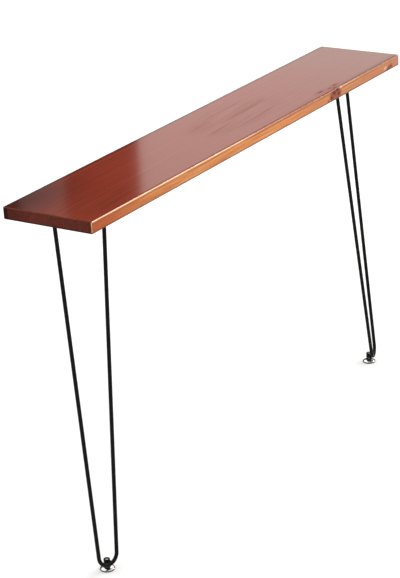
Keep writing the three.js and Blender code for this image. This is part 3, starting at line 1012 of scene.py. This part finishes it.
# %% Sheets with holes
def rounded_outline(corners, inset=0.0, steps=8):
    """A closed outline, anticlockwise, through (x, y, radius) corners, moved inwards by an inset."""
    points = []
    count = len(corners)
    for i, (x, y, radius) in enumerate(corners):
        here = Vector((x, y))
        before = (Vector(corners[i - 1][:2]) - here).normalized()
        after = (Vector(corners[(i + 1) % count][:2]) - here).normalized()
        half = math.acos(max(-1.0, min(1.0, before.dot(after)))) / 2
        centre = here + (before + after).normalized() * (radius / math.sin(half))
        start = Vector((-before.y, before.x))
        if start.dot(after) > 0:
            start = -start
        sweep = math.pi - 2 * half
        base = math.atan2(start.y, start.x)
        for k in range(steps + 1):
            angle = base + sweep * k / steps
            reach = radius - inset
            points.append((centre.x + reach * math.cos(angle), centre.y + reach * math.sin(angle)))
    return points


def sheet_with_holes(bm, corners, holes, low, high, edge, steps=8, hole_sides=32):
    """A flat sheet between two heights, with round holes (x, y, radius) and its edges broken."""
    levels = [(low, edge), (low + edge, 0.0), (high - edge, 0.0), (high, edge)]
    outlines = [[(*p, z) for p in rounded_outline(corners, inset, steps)] for z, inset in levels]
    walls = [[ring_of(bm, outline) for outline in outlines]]
    for x, y, radius in holes:
        rims = [[(*p, z) for p in circle(radius + inset, hole_sides, x, y)] for z, inset in levels]
        walls.append([ring_of(bm, rim) for rim in rims])
    for rings in walls:
        bridge(bm, rings)
    bm.edges.index_update()
    for end in (0, -1):
        rim_edges = []
        for rings in walls:
            ring = rings[end]
            for i, vertex in enumerate(ring):
                rim_edges.append(bm.edges.get((vertex, ring[(i + 1) % len(ring)])))
        bmesh.ops.triangle_fill(bm, use_beauty=True, edges=rim_edges)


print("sheet helpers:", [made.__name__ for made in (rounded_outline, sheet_with_holes)])

# %% [markdown]
# Under the board, each leg ends in a laser-cut steel plate: a trapezium with round corners and five screw
# holes, its cut edges just broken so that they don't scratch.

# %% Mounting plates
PLATE_FRONT, PLATE_BACK = 150 * MM, 64 * MM
PLATE_FRONT_REACH, PLATE_BACK_REACH = 15 * MM, 58 * MM
PLATE_CORNER = 9 * MM
PLATE_SCREWS = [(0, 0), (-39.5, 21.5), (39.5, 21.5), (-18, 44), (18, 44)]
PLATE_HOLE = 2.55 * MM
BROKEN_EDGE = 0.35 * MM

plate_corners = [
    (-PLATE_FRONT / 2, -PLATE_FRONT_REACH, PLATE_CORNER),
    (PLATE_FRONT / 2, -PLATE_FRONT_REACH, PLATE_CORNER),
    (PLATE_BACK / 2, PLATE_BACK_REACH, PLATE_CORNER),
    (-PLATE_BACK / 2, PLATE_BACK_REACH, PLATE_CORNER),
]
plate_holes = [(x * MM, y * MM, PLATE_HOLE) for x, y in PLATE_SCREWS]
for side in SIDES:
    bm = bmesh.new()
    sheet_with_holes(bm, plate_corners, plate_holes, PLATE_UNDERSIDE, PLATE_TOP, BROKEN_EDGE)
    piece = finished(bm, f"plate_{side}", leg_matrix(side), sharp_degrees=28)
    dress(piece, BLACK_COAT, "table", "black_steel", f"leg_plate_{side}")

# %% [markdown]
# The brackets are a strip of the same steel with two holes in each arm, bent square over a small radius. It
# is made here as in a workshop: first the flat blank with its holes, then the bend. The blank is cut
# across where it will bend, and each of its points is carried round the bend by its distance along the
# strip and its place in the thickness.

# %% Wall brackets
BRACKET_INSET = 300 * MM
BRACKET_WIDTH = 32 * MM
BRACKET_ARM = 52 * MM
BRACKET_SHEET = 3 * MM
BRACKET_BEND = 3 * MM
BRACKET_CORNER = 8 * MM
BRACKET_HOLE = 2.6 * MM
BRACKET_SCREWS = [(0, -20), (0, -41)]
BRACKET_TOP = -0.3 * MM
BEND_CUTS = 14

outer_bend = BRACKET_BEND + BRACKET_SHEET
middle_bend = BRACKET_BEND + BRACKET_SHEET / 2
flat_arm = BRACKET_ARM - outer_bend
bend_length = middle_bend * math.pi / 2
blank_length = 2 * flat_arm + bend_length
reach_from_wall = [-y * MM for _, y in BRACKET_SCREWS]


def bracket_matrix(side):
    origin = (BOARD_LOW.x + BRACKET_INSET, BOARD_HIGH.y, UNDERSIDE)
    return side_matrix(side, Matrix.Translation(origin))


def bent(point):
    """Carries a point of the flat blank (across, along, thickness) round the bend."""
    x, along, out = point
    if along <= flat_arm:
        return Vector((x, along - BRACKET_ARM, BRACKET_TOP - BRACKET_SHEET / 2 + out))
    if along <= flat_arm + bend_length:
        turn = (along - flat_arm) / middle_bend
        reach = middle_bend + out
        height = BRACKET_TOP - outer_bend + reach * math.cos(turn)
        return Vector((x, -outer_bend + reach * math.sin(turn), height))
    below = along - flat_arm - bend_length
    return Vector((x, out - BRACKET_SHEET / 2, BRACKET_TOP - outer_bend - below))


half_width, half_sheet = BRACKET_WIDTH / 2, BRACKET_SHEET / 2
blank_corners = [
    (-half_width, 0, BRACKET_CORNER),
    (half_width, 0, BRACKET_CORNER),
    (half_width, blank_length, BRACKET_CORNER),
    (-half_width, blank_length, BRACKET_CORNER),
]
shelf_holes = [BRACKET_ARM - reach for reach in reach_from_wall]
wall_holes = [flat_arm + bend_length + BRACKET_TOP - outer_bend + reach for reach in reach_from_wall]
blank_holes = [(0, along, BRACKET_HOLE) for along in shelf_holes + wall_holes]
for side in SIDES:
    bm = bmesh.new()
    sheet_with_holes(bm, blank_corners, blank_holes, -half_sheet, half_sheet, BROKEN_EDGE)
    for k in range(BEND_CUTS + 1):
        cut = (0, flat_arm + bend_length * k / BEND_CUTS, 0)
        everything = bm.verts[:] + bm.edges[:] + bm.faces[:]
        bmesh.ops.bisect_plane(bm, geom=everything, plane_co=cut, plane_no=(0, 1, 0))
    for vertex in bm.verts:
        vertex.co = bent(vertex.co)
    piece = finished(bm, f"bracket_{side}", bracket_matrix(side), sharp_degrees=28)
    dress(piece, BLACK_COAT, "table", "black_steel", f"wall_bracket_{side}")

# %% [markdown]
# Screws and feet are turned shapes: a profile of radius and height, spun about the axis. Where a profile
# meets the axis, it is closed with a pole, so that no face has two corners in one place. No real edge is
# perfectly sharp, so a second helper rounds the corners of a profile a little.

# %% Turned profiles
def turned(bm, profile, sides):
    """A profile of (radius, height) turned about Z. A radius of 0 closes it with a pole."""
    rings = []
    for radius, height in profile:
        if radius == 0:
            rings.append(bm.verts.new((0, 0, height)))
        else:
            rings.append(ring_of(bm, [(x, y, height) for x, y in circle(radius, sides)]))
    for low, high in zip(rings, rings[1:]):
        if isinstance(low, list) and isinstance(high, list):
            bridge(bm, [low, high])
            continue
        pole, ring = (high, low) if isinstance(low, list) else (low, high)
        for i in range(sides):
            bm.faces.new((pole, ring[i], ring[(i + 1) % sides]))


def eased(profile, radius, steps=3):
    """A profile whose inner corners are rounded, each by at most a third of its shorter side."""
    points = [Vector(p) for p in profile]
    made = [points[0]]
    for before, point, after in zip(points, points[1:], points[2:]):
        back, ahead = before - point, after - point
        reach = min(radius, back.length / 3, ahead.length / 3)
        start, end = point + back.normalized() * reach, point + ahead.normalized() * reach
        for i in range(steps + 1):
            t = i / steps
            made.append(start * (1 - t) ** 2 + point * 2 * t * (1 - t) + end * t**2)
    made.append(points[-1])
    return [tuple(p) for p in made]


print("profile helpers:", [made.__name__ for made in (turned, eased)])

# %% [markdown]
# A thread is a ridge with a pointed section that climbs round the axis. A tree sweeps the section along
# a line, so one tree makes the coarse thread of a wood screw and the fine one of a stem. A wood screw's
# thread runs out at the point, so its line sinks into the shank over the last turn.

# %% Threads
RUN_OUT_SHARE = 0.62
RIDGE_SHARE = 0.46
STEPS_A_TURN = 20


def helix(radius, start, end, pitch, end_share):
    """A line that climbs round Z, and goes to a share of its radius over its last turn."""
    turns = (end - start) / pitch
    count = int(turns * STEPS_A_TURN)
    line = []
    for k in range(count + 1):
        angle = FULL_TURN * turns * k / count
        fade = min(1.0, (count - k) / STEPS_A_TURN)
        here = radius * (end_share + (1 - end_share) * fade)
        height = start + (end - start) * k / count
        line.append(Vector((here * math.cos(angle), here * math.sin(angle), height)))
    return line


def thread_tree():
    """A ridge with a pointed section along a climbing line."""
    tree, given = new_tree("thread", {"Depth": FLOAT, "Half pitch": FLOAT})
    line = output_of(tree, "GeometryNodeMeshToCurve", {"Mesh": given["Source"]})
    upright = output_of(tree, "GeometryNodeSetCurveNormal", {"Curve": line}, mode="Z_UP")
    depth, half_pitch = given["Depth"], given["Half pitch"]
    corners = ({0: depth}, {0: -depth, 1: half_pitch}, {0: -depth}, {0: -depth, 1: -half_pitch})
    points = [output_of(tree, "ShaderNodeCombineXYZ", corner) for corner in corners]
    inputs = {f"Point {i + 1}": point for i, point in enumerate(points)}
    section = output_of(tree, "GeometryNodeCurvePrimitiveQuadrilateral", inputs, mode="POINTS")
    inputs = {"Curve": upright, "Profile Curve": section, "Fill Caps": True}
    return close_tree(tree, given, output_of(tree, "GeometryNodeCurveToMesh", inputs))


THREAD = thread_tree()


def threaded(radius, depth, start, end, pitch, finish, end_share=1.0):
    line = line_mesh("thread_line", helix(radius, start, end, pitch, end_share))
    values = {"Depth": depth, "Half pitch": pitch * RIDGE_SHARE, "Finish": finish}
    return grown("thread", line, THREAD, values)


print("thread steps a turn:", STEPS_A_TURN)

# %% [markdown]
# The screws are zinc-plated wood screws with pan heads and cross recesses. The head and the shank are
# one profile turned about the axis, and a Boolean modifier cuts the recess with a cross that narrows
# inwards, as the punch that strikes a real head does.

# %% One wood screw
SCREW_SIDES = 40
SCREW_PITCH = 1.9 * MM
SHANK_SHARE = 0.72
POINT_SHARE = 1.6
THREAD_START_SHARE, THREAD_END_SHARE = 0.28, 0.4
DOME_STEPS, DOME_POWERS = 12, (0.82, 0.7)
RECESS_SHARES = (0.5, 0.17, 0.62)
RECESS_BOTTOM_SHARE, RECESS_MOUTH_SHARE = 0.45, 1.15
CUT_OVERRUN = 1 * MM


def cross_cutter(reach, width, depth, top):
    """A cross that narrows into the head, to cut its recess."""
    half = width / 2
    quarter = [(half, half), (half, reach), (-half, reach)]
    plus = []
    for _ in range(4):
        plus += quarter
        quarter = [(-y, x) for x, y in quarter]
    cutter = bmesh.new()
    levels = ((RECESS_BOTTOM_SHARE, top + depth), (RECESS_MOUTH_SHARE, top - CUT_OVERRUN))
    bottom, mouth = (ring_of(cutter, [(x * t, y * t, height) for x, y in plus]) for t, height in levels)
    bridge(cutter, [mouth, bottom])
    cutter.faces.new(mouth)
    cutter.faces.new(bottom)
    return cutter


def screw_mesh(name, diameter, head_diameter, head_height, length):
    """A pan-head wood screw that points up, the flat side of its head at z = 0."""
    head, shank = head_diameter / 2, diameter / 2 * SHANK_SHARE
    dome = [(0, -head_height)]
    for k in range(1, DOME_STEPS + 1):
        angle = (math.pi / 2) * k / DOME_STEPS
        wide, tall = math.sin(angle) ** DOME_POWERS[0], math.cos(angle) ** DOME_POWERS[1]
        dome.append((head * wide, -head_height * tall))
    bm = bmesh.new()
    shaft = [(shank, 0), (shank, length - POINT_SHARE * diameter), (0, length)]
    turned(bm, [*dome, *shaft], SCREW_SIDES)
    bmesh.ops.remove_doubles(bm, verts=bm.verts, dist=MERGE_DISTANCE)
    bmesh.ops.recalc_face_normals(bm, faces=bm.faces)
    screw = add_object(name, to_mesh(name, bm))
    reach, width, depth = RECESS_SHARES
    cutter = cross_cutter(head * reach, head * width, head_height * depth, -head_height)
    bmesh.ops.recalc_face_normals(cutter, faces=cutter.faces)
    tool = add_object("cross", to_mesh("cross", cutter))
    cut = screw.modifiers.new("recess", "BOOLEAN")
    cut.operation, cut.object, cut.solver = "DIFFERENCE", tool, "EXACT"
    bm = baked(screw)
    bpy.data.objects.remove(tool)
    start, end = THREAD_START_SHARE * length, length - THREAD_END_SHARE * diameter
    depth = diameter / 2 - shank
    add_to(bm, threaded(shank, depth, start, end, SCREW_PITCH, BRIGHT_ZINC, RUN_OUT_SHARE))
    print(name, len(bm.faces), "faces")
    return to_mesh(name, bm)


# %% [markdown]
# A tree sets the screw in every hole of a plate or a bracket, each turned to a chance angle, as a row
# of driven screws is. Each head sits a hair off its sheet, so that the two never share a face.

# %% Screws in their holes
def driven_screws_tree():
    tree, given = new_tree("driven screws", {"Screw": OBJECT, "Seed": INTEGER})
    screw = output_of(tree, "GeometryNodeObjectInfo", {"Object": given["Screw"]}, "Geometry")
    inputs = {2: 0.0, 3: FULL_TURN, "Seed": given["Seed"]}
    turn = output_of(tree, "FunctionNodeRandomValue", inputs, 1, data_type="FLOAT")
    angles = output_of(tree, "ShaderNodeCombineXYZ", {2: turn})
    rotation = output_of(tree, "FunctionNodeEulerToRotation", {0: angles})
    points = output_of(tree, "GeometryNodeMeshToPoints", {"Mesh": given["Source"]})
    inputs = {"Points": points, "Instance": screw, "Rotation": rotation}
    return close_tree(tree, given, output_of(tree, "GeometryNodeInstanceOnPoints", inputs))


DRIVEN_SCREWS = driven_screws_tree()
SCREW_BITE = BOARD_THICKNESS * 0.6
SEAT = 0.05 * MM


def drive(kind, sizes, places, seat, seed):
    """Screws of one kind in their places, heads against the sheet at a height of the local frame."""
    model = add_object("screw_model", screw_mesh(f"{kind}_screw", *sizes))
    source = line_mesh("screw_places", [(x * MM, y * MM, seat) for x, y in places], joined=False)
    values = {"Screw": model, "Seed": seed, "Finish": BRIGHT_ZINC}
    bm = grown("screws", source, DRIVEN_SCREWS, values)
    bpy.data.objects.remove(model)
    return bm


DRIVEN = [  # name, frame, diameter, head's diameter and height, places, sheet's underside, seeds
    ("leg_screw", leg_matrix, (4.5, 9, 2.8), PLATE_SCREWS, PLATE_UNDERSIDE, (5, 11)),
    ("bracket_screw", bracket_matrix, (4, 8, 2.6), BRACKET_SCREWS, BRACKET_TOP - BRACKET_SHEET, (2, 7)),
]
for number, side in enumerate(SIDES):
    for kind, matrix, sizes, places, sheet, seeds in DRIVEN:
        sizes = [*(size * MM for size in sizes), PLATE_SHEET + SCREW_BITE]
        bm = drive(kind, sizes, places, sheet - SEAT, seeds[number])
        piece = finished(bm, f"{kind}s_{side}", matrix(side), sharp_degrees=30)
        stood_for = [f"{kind}_{side}_{i + 1}" for i in range(len(places))]
        dress(piece, BRIGHT_ZINC, "table", "zinc", *stood_for)

# %% [markdown]
# Each foot has four parts that the hand can tell apart: a threaded bush, a stem, a cap and a base. All
# are turned shapes, so each is a profile with its corners eased, spun about the axis. The bush is a
# short tube, held behind the bend of the rod by two short beads of weld.

# %% Bushes
TURNED_SIDES = 72
STEM_RADIUS = 4 * MM
BUSH_BORE, BUSH_RADIUS = 4.3 * MM, 6.5 * MM
BUSH_LOW, BUSH_HIGH = 11 * MM, 23 * MM
BUSH_CHAMFER = 0.7 * MM
BUSH_EASED = 0.25 * MM
WELD_POINTS = 9
WELD_HALF_ARC = math.radians(42)
WELD_OUT_SHARE = 0.25
WELDS = [(0.8, 4), (-0.55, 9)]

bush_profile = [
    (BUSH_BORE, BUSH_LOW),
    (BUSH_RADIUS - BUSH_CHAMFER, BUSH_LOW),
    (BUSH_RADIUS, BUSH_LOW + BUSH_CHAMFER),
    (BUSH_RADIUS, BUSH_HIGH - BUSH_CHAMFER),
    (BUSH_RADIUS - BUSH_CHAMFER, BUSH_HIGH),
    (BUSH_BORE, BUSH_HIGH),
    (BUSH_BORE, BUSH_LOW),
]


def bush_welds(side):
    """Two short beads between the bush and the rod, over and under the line where they touch."""
    made = bmesh.new()
    axis = (leg_matrix(side).inverted() @ foot_matrix(side)).translation
    lowest = in_leg_frame(BEND_RADIUS - ROD_SPREAD / 2, (UNDERSIDE - BEND_HEIGHT) / math.cos(LEG_LEAN))
    reach = BUSH_RADIUS + WELD_OUT_SHARE * BEAD
    for rise_share, seed in WELDS:
        height = lowest.z + ROD_RADIUS * rise_share
        line = []
        for k in range(WELD_POINTS):
            lean = WELD_HALF_ARC * (2 * k / (WELD_POINTS - 1) - 1)
            line.append(axis + Vector((reach * math.sin(lean), -reach * math.cos(lean), height - axis.z)))
        add_to(made, weld(line, False, seed))
    return made


for side in SIDES:
    bm = bmesh.new()
    turned(bm, eased(bush_profile, BUSH_EASED), TURNED_SIDES)
    bm.transform(leg_matrix(side).inverted() @ foot_matrix(side))
    add_to(bm, bush_welds(side))
    piece = finished(bm, f"bush_{side}", leg_matrix(side), sharp_degrees=40)
    dress(piece, BLACK_COAT, "table", "black_steel", f"leg_bush_{side}")

# %% [markdown]
# The stem has a flat head that the cap holds down, a neck, a spanner hexagon and a threaded stud. A
# turned profile can't have flats, so the hexagon is a collar of its own: its radius goes in and out six
# times a turn, and its corners are turned off above and below, as they are on a nut.

# %% Stems
HEAD_LOW, HEAD_HIGH = 1.9 * MM, 3.3 * MM
HEAD_RADIUS = 6 * MM
NECK_RADIUS = 3.7 * MM
HEX_LOW, HEX_HIGH = 5.7 * MM, 8.2 * MM
HEX_FLAT = 6.5 * MM
STEM_TOP = 21.8 * MM
THREAD_DEPTH = 0.55 * MM
THREAD_PITCH = 1.25 * MM
NECK_TOP, THREAD_START = HEX_HIGH + 0.4 * MM, HEX_HIGH + 0.8 * MM
POINT_DEPTH, POINT_HEIGHT = 1.1 * MM, 0.9 * MM
STEM_EASED = 0.2 * MM
HEX_CHAMFER = math.radians(30)
HEX_FACE_SHARE = 0.97


def hexagon_collar(bm, low, high, flat, bore, sides=TURNED_SIDES):
    """A hexagon whose corners are turned off at an angle above and below."""
    face = flat * HEX_FACE_SHARE
    rings = [[] for _ in range(6)]
    for i in range(sides):
        angle = FULL_TURN * i / sides
        from_flat = (angle + math.pi / 6) % (math.pi / 3) - math.pi / 6
        reach = flat / math.cos(from_flat)
        fall = (reach - face) * math.tan(HEX_CHAMFER)
        climb = [(bore, low), (face, low), (reach, low + fall)]
        levels = [*climb, (reach, high - fall), (face, high), (bore, high)]
        for ring, (radius, height) in zip(rings, levels):
            ring.append((radius * math.cos(angle), radius * math.sin(angle), height))
    made = [ring_of(bm, ring) for ring in rings]
    bridge(bm, [*made, made[0]])


stem_profile = [
    (0, HEAD_LOW),
    (HEAD_RADIUS, HEAD_LOW),
    (HEAD_RADIUS, HEAD_HIGH),
    (NECK_RADIUS, HEAD_HIGH),
    (NECK_RADIUS, NECK_TOP),
    (STEM_RADIUS - THREAD_DEPTH, THREAD_START),
    (STEM_RADIUS - THREAD_DEPTH, STEM_TOP - POINT_HEIGHT),
    (STEM_RADIUS - POINT_DEPTH, STEM_TOP),
    (0, STEM_TOP),
]
for side in SIDES:
    bm = bmesh.new()
    turned(bm, eased(stem_profile, STEM_EASED), TURNED_SIDES)
    hexagon_collar(bm, HEX_LOW, HEX_HIGH, HEX_FLAT, NECK_RADIUS - STEM_EASED)
    low, high = HEX_HIGH + THREAD_PITCH / 2, STEM_TOP - THREAD_PITCH / 2
    ridge = threaded(STEM_RADIUS - THREAD_DEPTH, THREAD_DEPTH, low, high, THREAD_PITCH, STEM_ZINC)
    add_to(bm, ridge)
    piece = finished(bm, f"stem_{side}", foot_matrix(side), sharp_degrees=30)
    dress(piece, STEM_ZINC, f"stem_{side}", "zinc", f"foot_stem_{side}")

# %% [markdown]
# The cap is pressed from sheet, so its outside and inside are nearly the same curve, a sheet's thickness
# apart, and it turns freely on the stem. The black plastic base spares the floor: it is a dish whose
# lip holds the cap, with three grooves underneath.

# %% Caps and bases
FOOT_RADIUS = 15 * MM
BASE_HEIGHT = 3.2 * MM
BASE_FLOOR = 1.6 * MM
BASE_LIP = 0.8 * MM
CAP_LOW, CAP_HIGH = 1.9 * MM, 5.4 * MM
CAP_RADIUS = 13.9 * MM
CAP_SHEET = 1 * MM
CAP_HOLE = 4 * MM
CAP_RIM = 1.5 * MM
CAP_SHOULDER, CAP_CROWN = 11.7 * MM, 6.2 * MM
CAP_EDGE, HOLE_EDGE = 0.25 * MM, 0.4 * MM
BASE_CHAMFER, LIP_EDGE, BASE_EASED = 0.6 * MM, 0.2 * MM, 0.12 * MM
GROOVE_PLACES = (4.2 * MM, 7.4 * MM, 10.6 * MM)
GROOVE_WIDTH, GROOVE_DEPTH = 1 * MM, 0.35 * MM


def crown(inset, steps=12):
    """The rounded outside of a pressed cap, or its inside at an inset, from the rim to the flat crown."""
    top = CAP_HIGH - inset
    start = Vector((CAP_RADIUS - inset, CAP_LOW + CAP_RIM - inset))
    pull, end = Vector((CAP_SHOULDER - inset, top)), Vector((CAP_CROWN, top))
    shares = [k / steps for k in range(steps + 1)]
    return [tuple(start * (1 - t) ** 2 + pull * 2 * t * (1 - t) + end * t**2) for t in shares]


cap_profile = [
    (CAP_RADIUS - CAP_EDGE, CAP_LOW),
    (CAP_RADIUS, CAP_LOW + CAP_EDGE),
    *crown(0),
    (CAP_HOLE + HOLE_EDGE, CAP_HIGH),
    (CAP_HOLE, CAP_HIGH - HOLE_EDGE),
    (CAP_HOLE, CAP_HIGH - CAP_SHEET),
    *reversed(crown(CAP_SHEET)),
    (CAP_RADIUS - CAP_SHEET, CAP_LOW),
    (CAP_RADIUS - CAP_EDGE, CAP_LOW),
]
base_underside = [(0, 0)]
for middle in GROOVE_PLACES:
    half = GROOVE_WIDTH / 2
    groove = [(-half, 0), (-half / 2, GROOVE_DEPTH), (half / 2, GROOVE_DEPTH), (half, 0)]
    base_underside += [(middle + out, height) for out, height in groove]
base_profile = [
    *base_underside,
    (FOOT_RADIUS - BASE_CHAMFER, 0),
    (FOOT_RADIUS, BASE_CHAMFER),
    (FOOT_RADIUS, BASE_HEIGHT - LIP_EDGE),
    (FOOT_RADIUS - LIP_EDGE, BASE_HEIGHT),
    (FOOT_RADIUS - BASE_LIP, BASE_HEIGHT),
    (FOOT_RADIUS - BASE_LIP, BASE_FLOOR),
    (0, BASE_FLOOR),
]
for side in SIDES:
    bm = bmesh.new()
    turned(bm, cap_profile, 2 * TURNED_SIDES)
    piece = finished(bm, f"cap_{side}", foot_matrix(side), sharp_degrees=50)
    dress(piece, CHROME, f"foot_{side}", "chrome", f"foot_cap_{side}")
    bm = bmesh.new()
    turned(bm, eased(base_profile, BASE_EASED), 2 * TURNED_SIDES)
    piece = finished(bm, f"base_{side}", foot_matrix(side), sharp_degrees=35)
    dress(piece, BLACK_PLASTIC, f"foot_{side}", "black_plastic", f"foot_base_{side}")

# %% [markdown]
# The table stands on a plain pale floor that runs far beyond the view, so the picture's ground and
# background are one soft white. The floor has a faint glow of its own, which keeps it white under the
# soft light, where a brighter lamp would bleach the wood. It isn't part of the object.

# %% Floor
FLOOR_HALF = 60.0
FLOOR_GLOW = 0.12


def pale_floor_material():
    material, place = new_material("pale_floor")
    inputs = {
        "Base Color": tint(noise(sized(place, 0.9)), (0.78, 0.78, 0.78), (0.81, 0.81, 0.81)),
        "Roughness": 0.9,
        "Specular IOR Level": 0.1,
        "Emission Color": (1, 1, 1, 1),
        "Emission Strength": FLOOR_GLOW,
    }
    return close_material(material, inputs)


bm = bmesh.new()
corners = [(-1, -1), (1, -1), (1, 1), (-1, 1)]
bm.faces.new(ring_of(bm, [(x * FLOOR_HALF, y * FLOOR_HALF, 0) for x, y in corners]))
floor = finished(bm, "floor")
floor.data.materials.append(pale_floor_material())

# %% [markdown]
# The light is that of a bright room with a pale ceiling and darker corners. The world glows from above,
# and is dim low down, above all behind the right end, where the lacquered top mirrors it. A softbox stands
# in that dark corner: it gives the top its pale sheen, and stops short of the near end, so the deep red
# shows there. A far lamp at the front right lights the front edge and draws a line along its arris.
# A ray straight from the camera finds the same pale white as the floor has.

# %% Light
def softbox(name, centre, aim, width, height, radiance, colour):
    light = bpy.data.lights.new(name, "AREA")
    light.shape = "RECTANGLE"
    light.size, light.size_y = width, height
    light.energy = radiance * math.pi * width * height
    light.color = colour
    lamp = add_object(name, light)
    lamp.location = centre
    lamp.rotation_mode = "QUATERNION"
    lamp.rotation_quaternion = (Vector(aim) - Vector(centre)).to_track_quat("-Z", "Y")
    lamp.visible_camera = False


SHEEN_AWAY = Vector((0.839, 0.545, 0))
SHEEN_ACROSS = Vector((-SHEEN_AWAY.y, SHEEN_AWAY.x, 0))
SHEEN_DISTANCE, SHEEN_HEIGHT, SHEEN_TALL = 2.5, 1.62, 1.15
SHEEN_COLOUR = (1.0, 0.95, 0.90)
SHEEN_BOXES = [("sheen", -0.615, 1.77, 1.15), ("far_window", 0.61, 0.16, 0.27)]
CORNER_GLOW, FRONT_GLOW, OVERHEAD_GLOW = 0.015, 0.7, 1.45
KEY_PLACE, KEY_AIM, KEY_SIZE, KEY_RADIANCE = (6.4, -3.4, 4.2), (0, 0, 0.7), (3.2, 2.0), 12.0

for name, across, width, radiance in SHEEN_BOXES:
    centre = SHEEN_AWAY * SHEEN_DISTANCE + SHEEN_ACROSS * across + Vector((0, 0, SHEEN_HEIGHT))
    softbox(name, centre, centre - SHEEN_AWAY, width, SHEEN_TALL, radiance, SHEEN_COLOUR)
softbox("key", KEY_PLACE, KEY_AIM, *KEY_SIZE, KEY_RADIANCE, (1.0, 0.975, 0.94))


def soft_room():
    world = bpy.data.worlds.new("soft_room")
    world.use_nodes = True
    tree = world.node_tree
    tree.nodes.clear()
    x, y, z = split(output_of(tree, "ShaderNodeTexCoord", output="Generated"))
    low_glow = ramp(x * SHEEN_AWAY.x + y * SHEEN_AWAY.y, 0.1, 0.75, FRONT_GLOW, CORNER_GLOW)
    overhead = ramp(z, 0.42, 0.68)
    room = overhead * OVERHEAD_GLOW + (1.0 - overhead) * low_glow
    seen = output_of(tree, "ShaderNodeLightPath", output="Is Camera Ray")
    inputs = {"Color": (1.0, 0.998, 0.992, 1), "Strength": (1.0 - seen) * room + seen}
    put(tree, "ShaderNodeOutputWorld", {"Surface": output_of(tree, "ShaderNodeBackground", inputs)})
    return world


bpy.context.scene.world = soft_room()
bpy.context.scene.view_settings.view_transform = "Standard"

# %% [markdown]
# The camera stands to the left, in front and above, about four metres away, with a long lens and a slight
# roll. Its place was found by matching the solids' corners, the rods and the feet to the picture. The
# picture is taller than wide, so the sensor's 36 mm run along its height.

# %% Camera
VIEW_AZIMUTH = math.radians(-56.414)
VIEW_ELEVATION = math.radians(21.895)
VIEW_ROLL = math.radians(-3.281)
VIEW_DISTANCE = 3.96306
VIEW_SHIFT = (-0.043273, -0.339591)
VIEW_FOCUS_PX, IMAGE_HEIGHT_PX, SENSOR_MM = 1940.833, 578, 36

back = Vector(
    (
        math.sin(VIEW_AZIMUTH) * math.cos(VIEW_ELEVATION),
        -math.cos(VIEW_AZIMUTH) * math.cos(VIEW_ELEVATION),
        math.sin(VIEW_ELEVATION),
    )
)
level_right = (-back).cross(Vector((0, 0, 1))).normalized()
level_up = level_right.cross(-back)
right = math.cos(VIEW_ROLL) * level_right + math.sin(VIEW_ROLL) * level_up
up = -math.sin(VIEW_ROLL) * level_right + math.cos(VIEW_ROLL) * level_up
eye = Vector((0, 0, BOARD_HIGH.z)) + back * VIEW_DISTANCE + right * VIEW_SHIFT[0] + up * VIEW_SHIFT[1]
lens = bpy.data.cameras.new("camera")
lens.sensor_width = SENSOR_MM
lens.lens = VIEW_FOCUS_PX * SENSOR_MM / IMAGE_HEIGHT_PX
lens.clip_end = 200
camera = add_object("camera", lens)
camera.matrix_world = Matrix.Translation(eye) @ Matrix((right, up, back)).transposed().to_4x4()
bpy.context.scene.camera = camera
print("camera at", [round(v, 3) for v in eye], "lens", round(lens.lens, 2))

# %% [markdown]
# Last, the view layer is brought up to date. The finished table may not be larger than the solids.

# %% Up to date
bpy.context.view_layer.update()
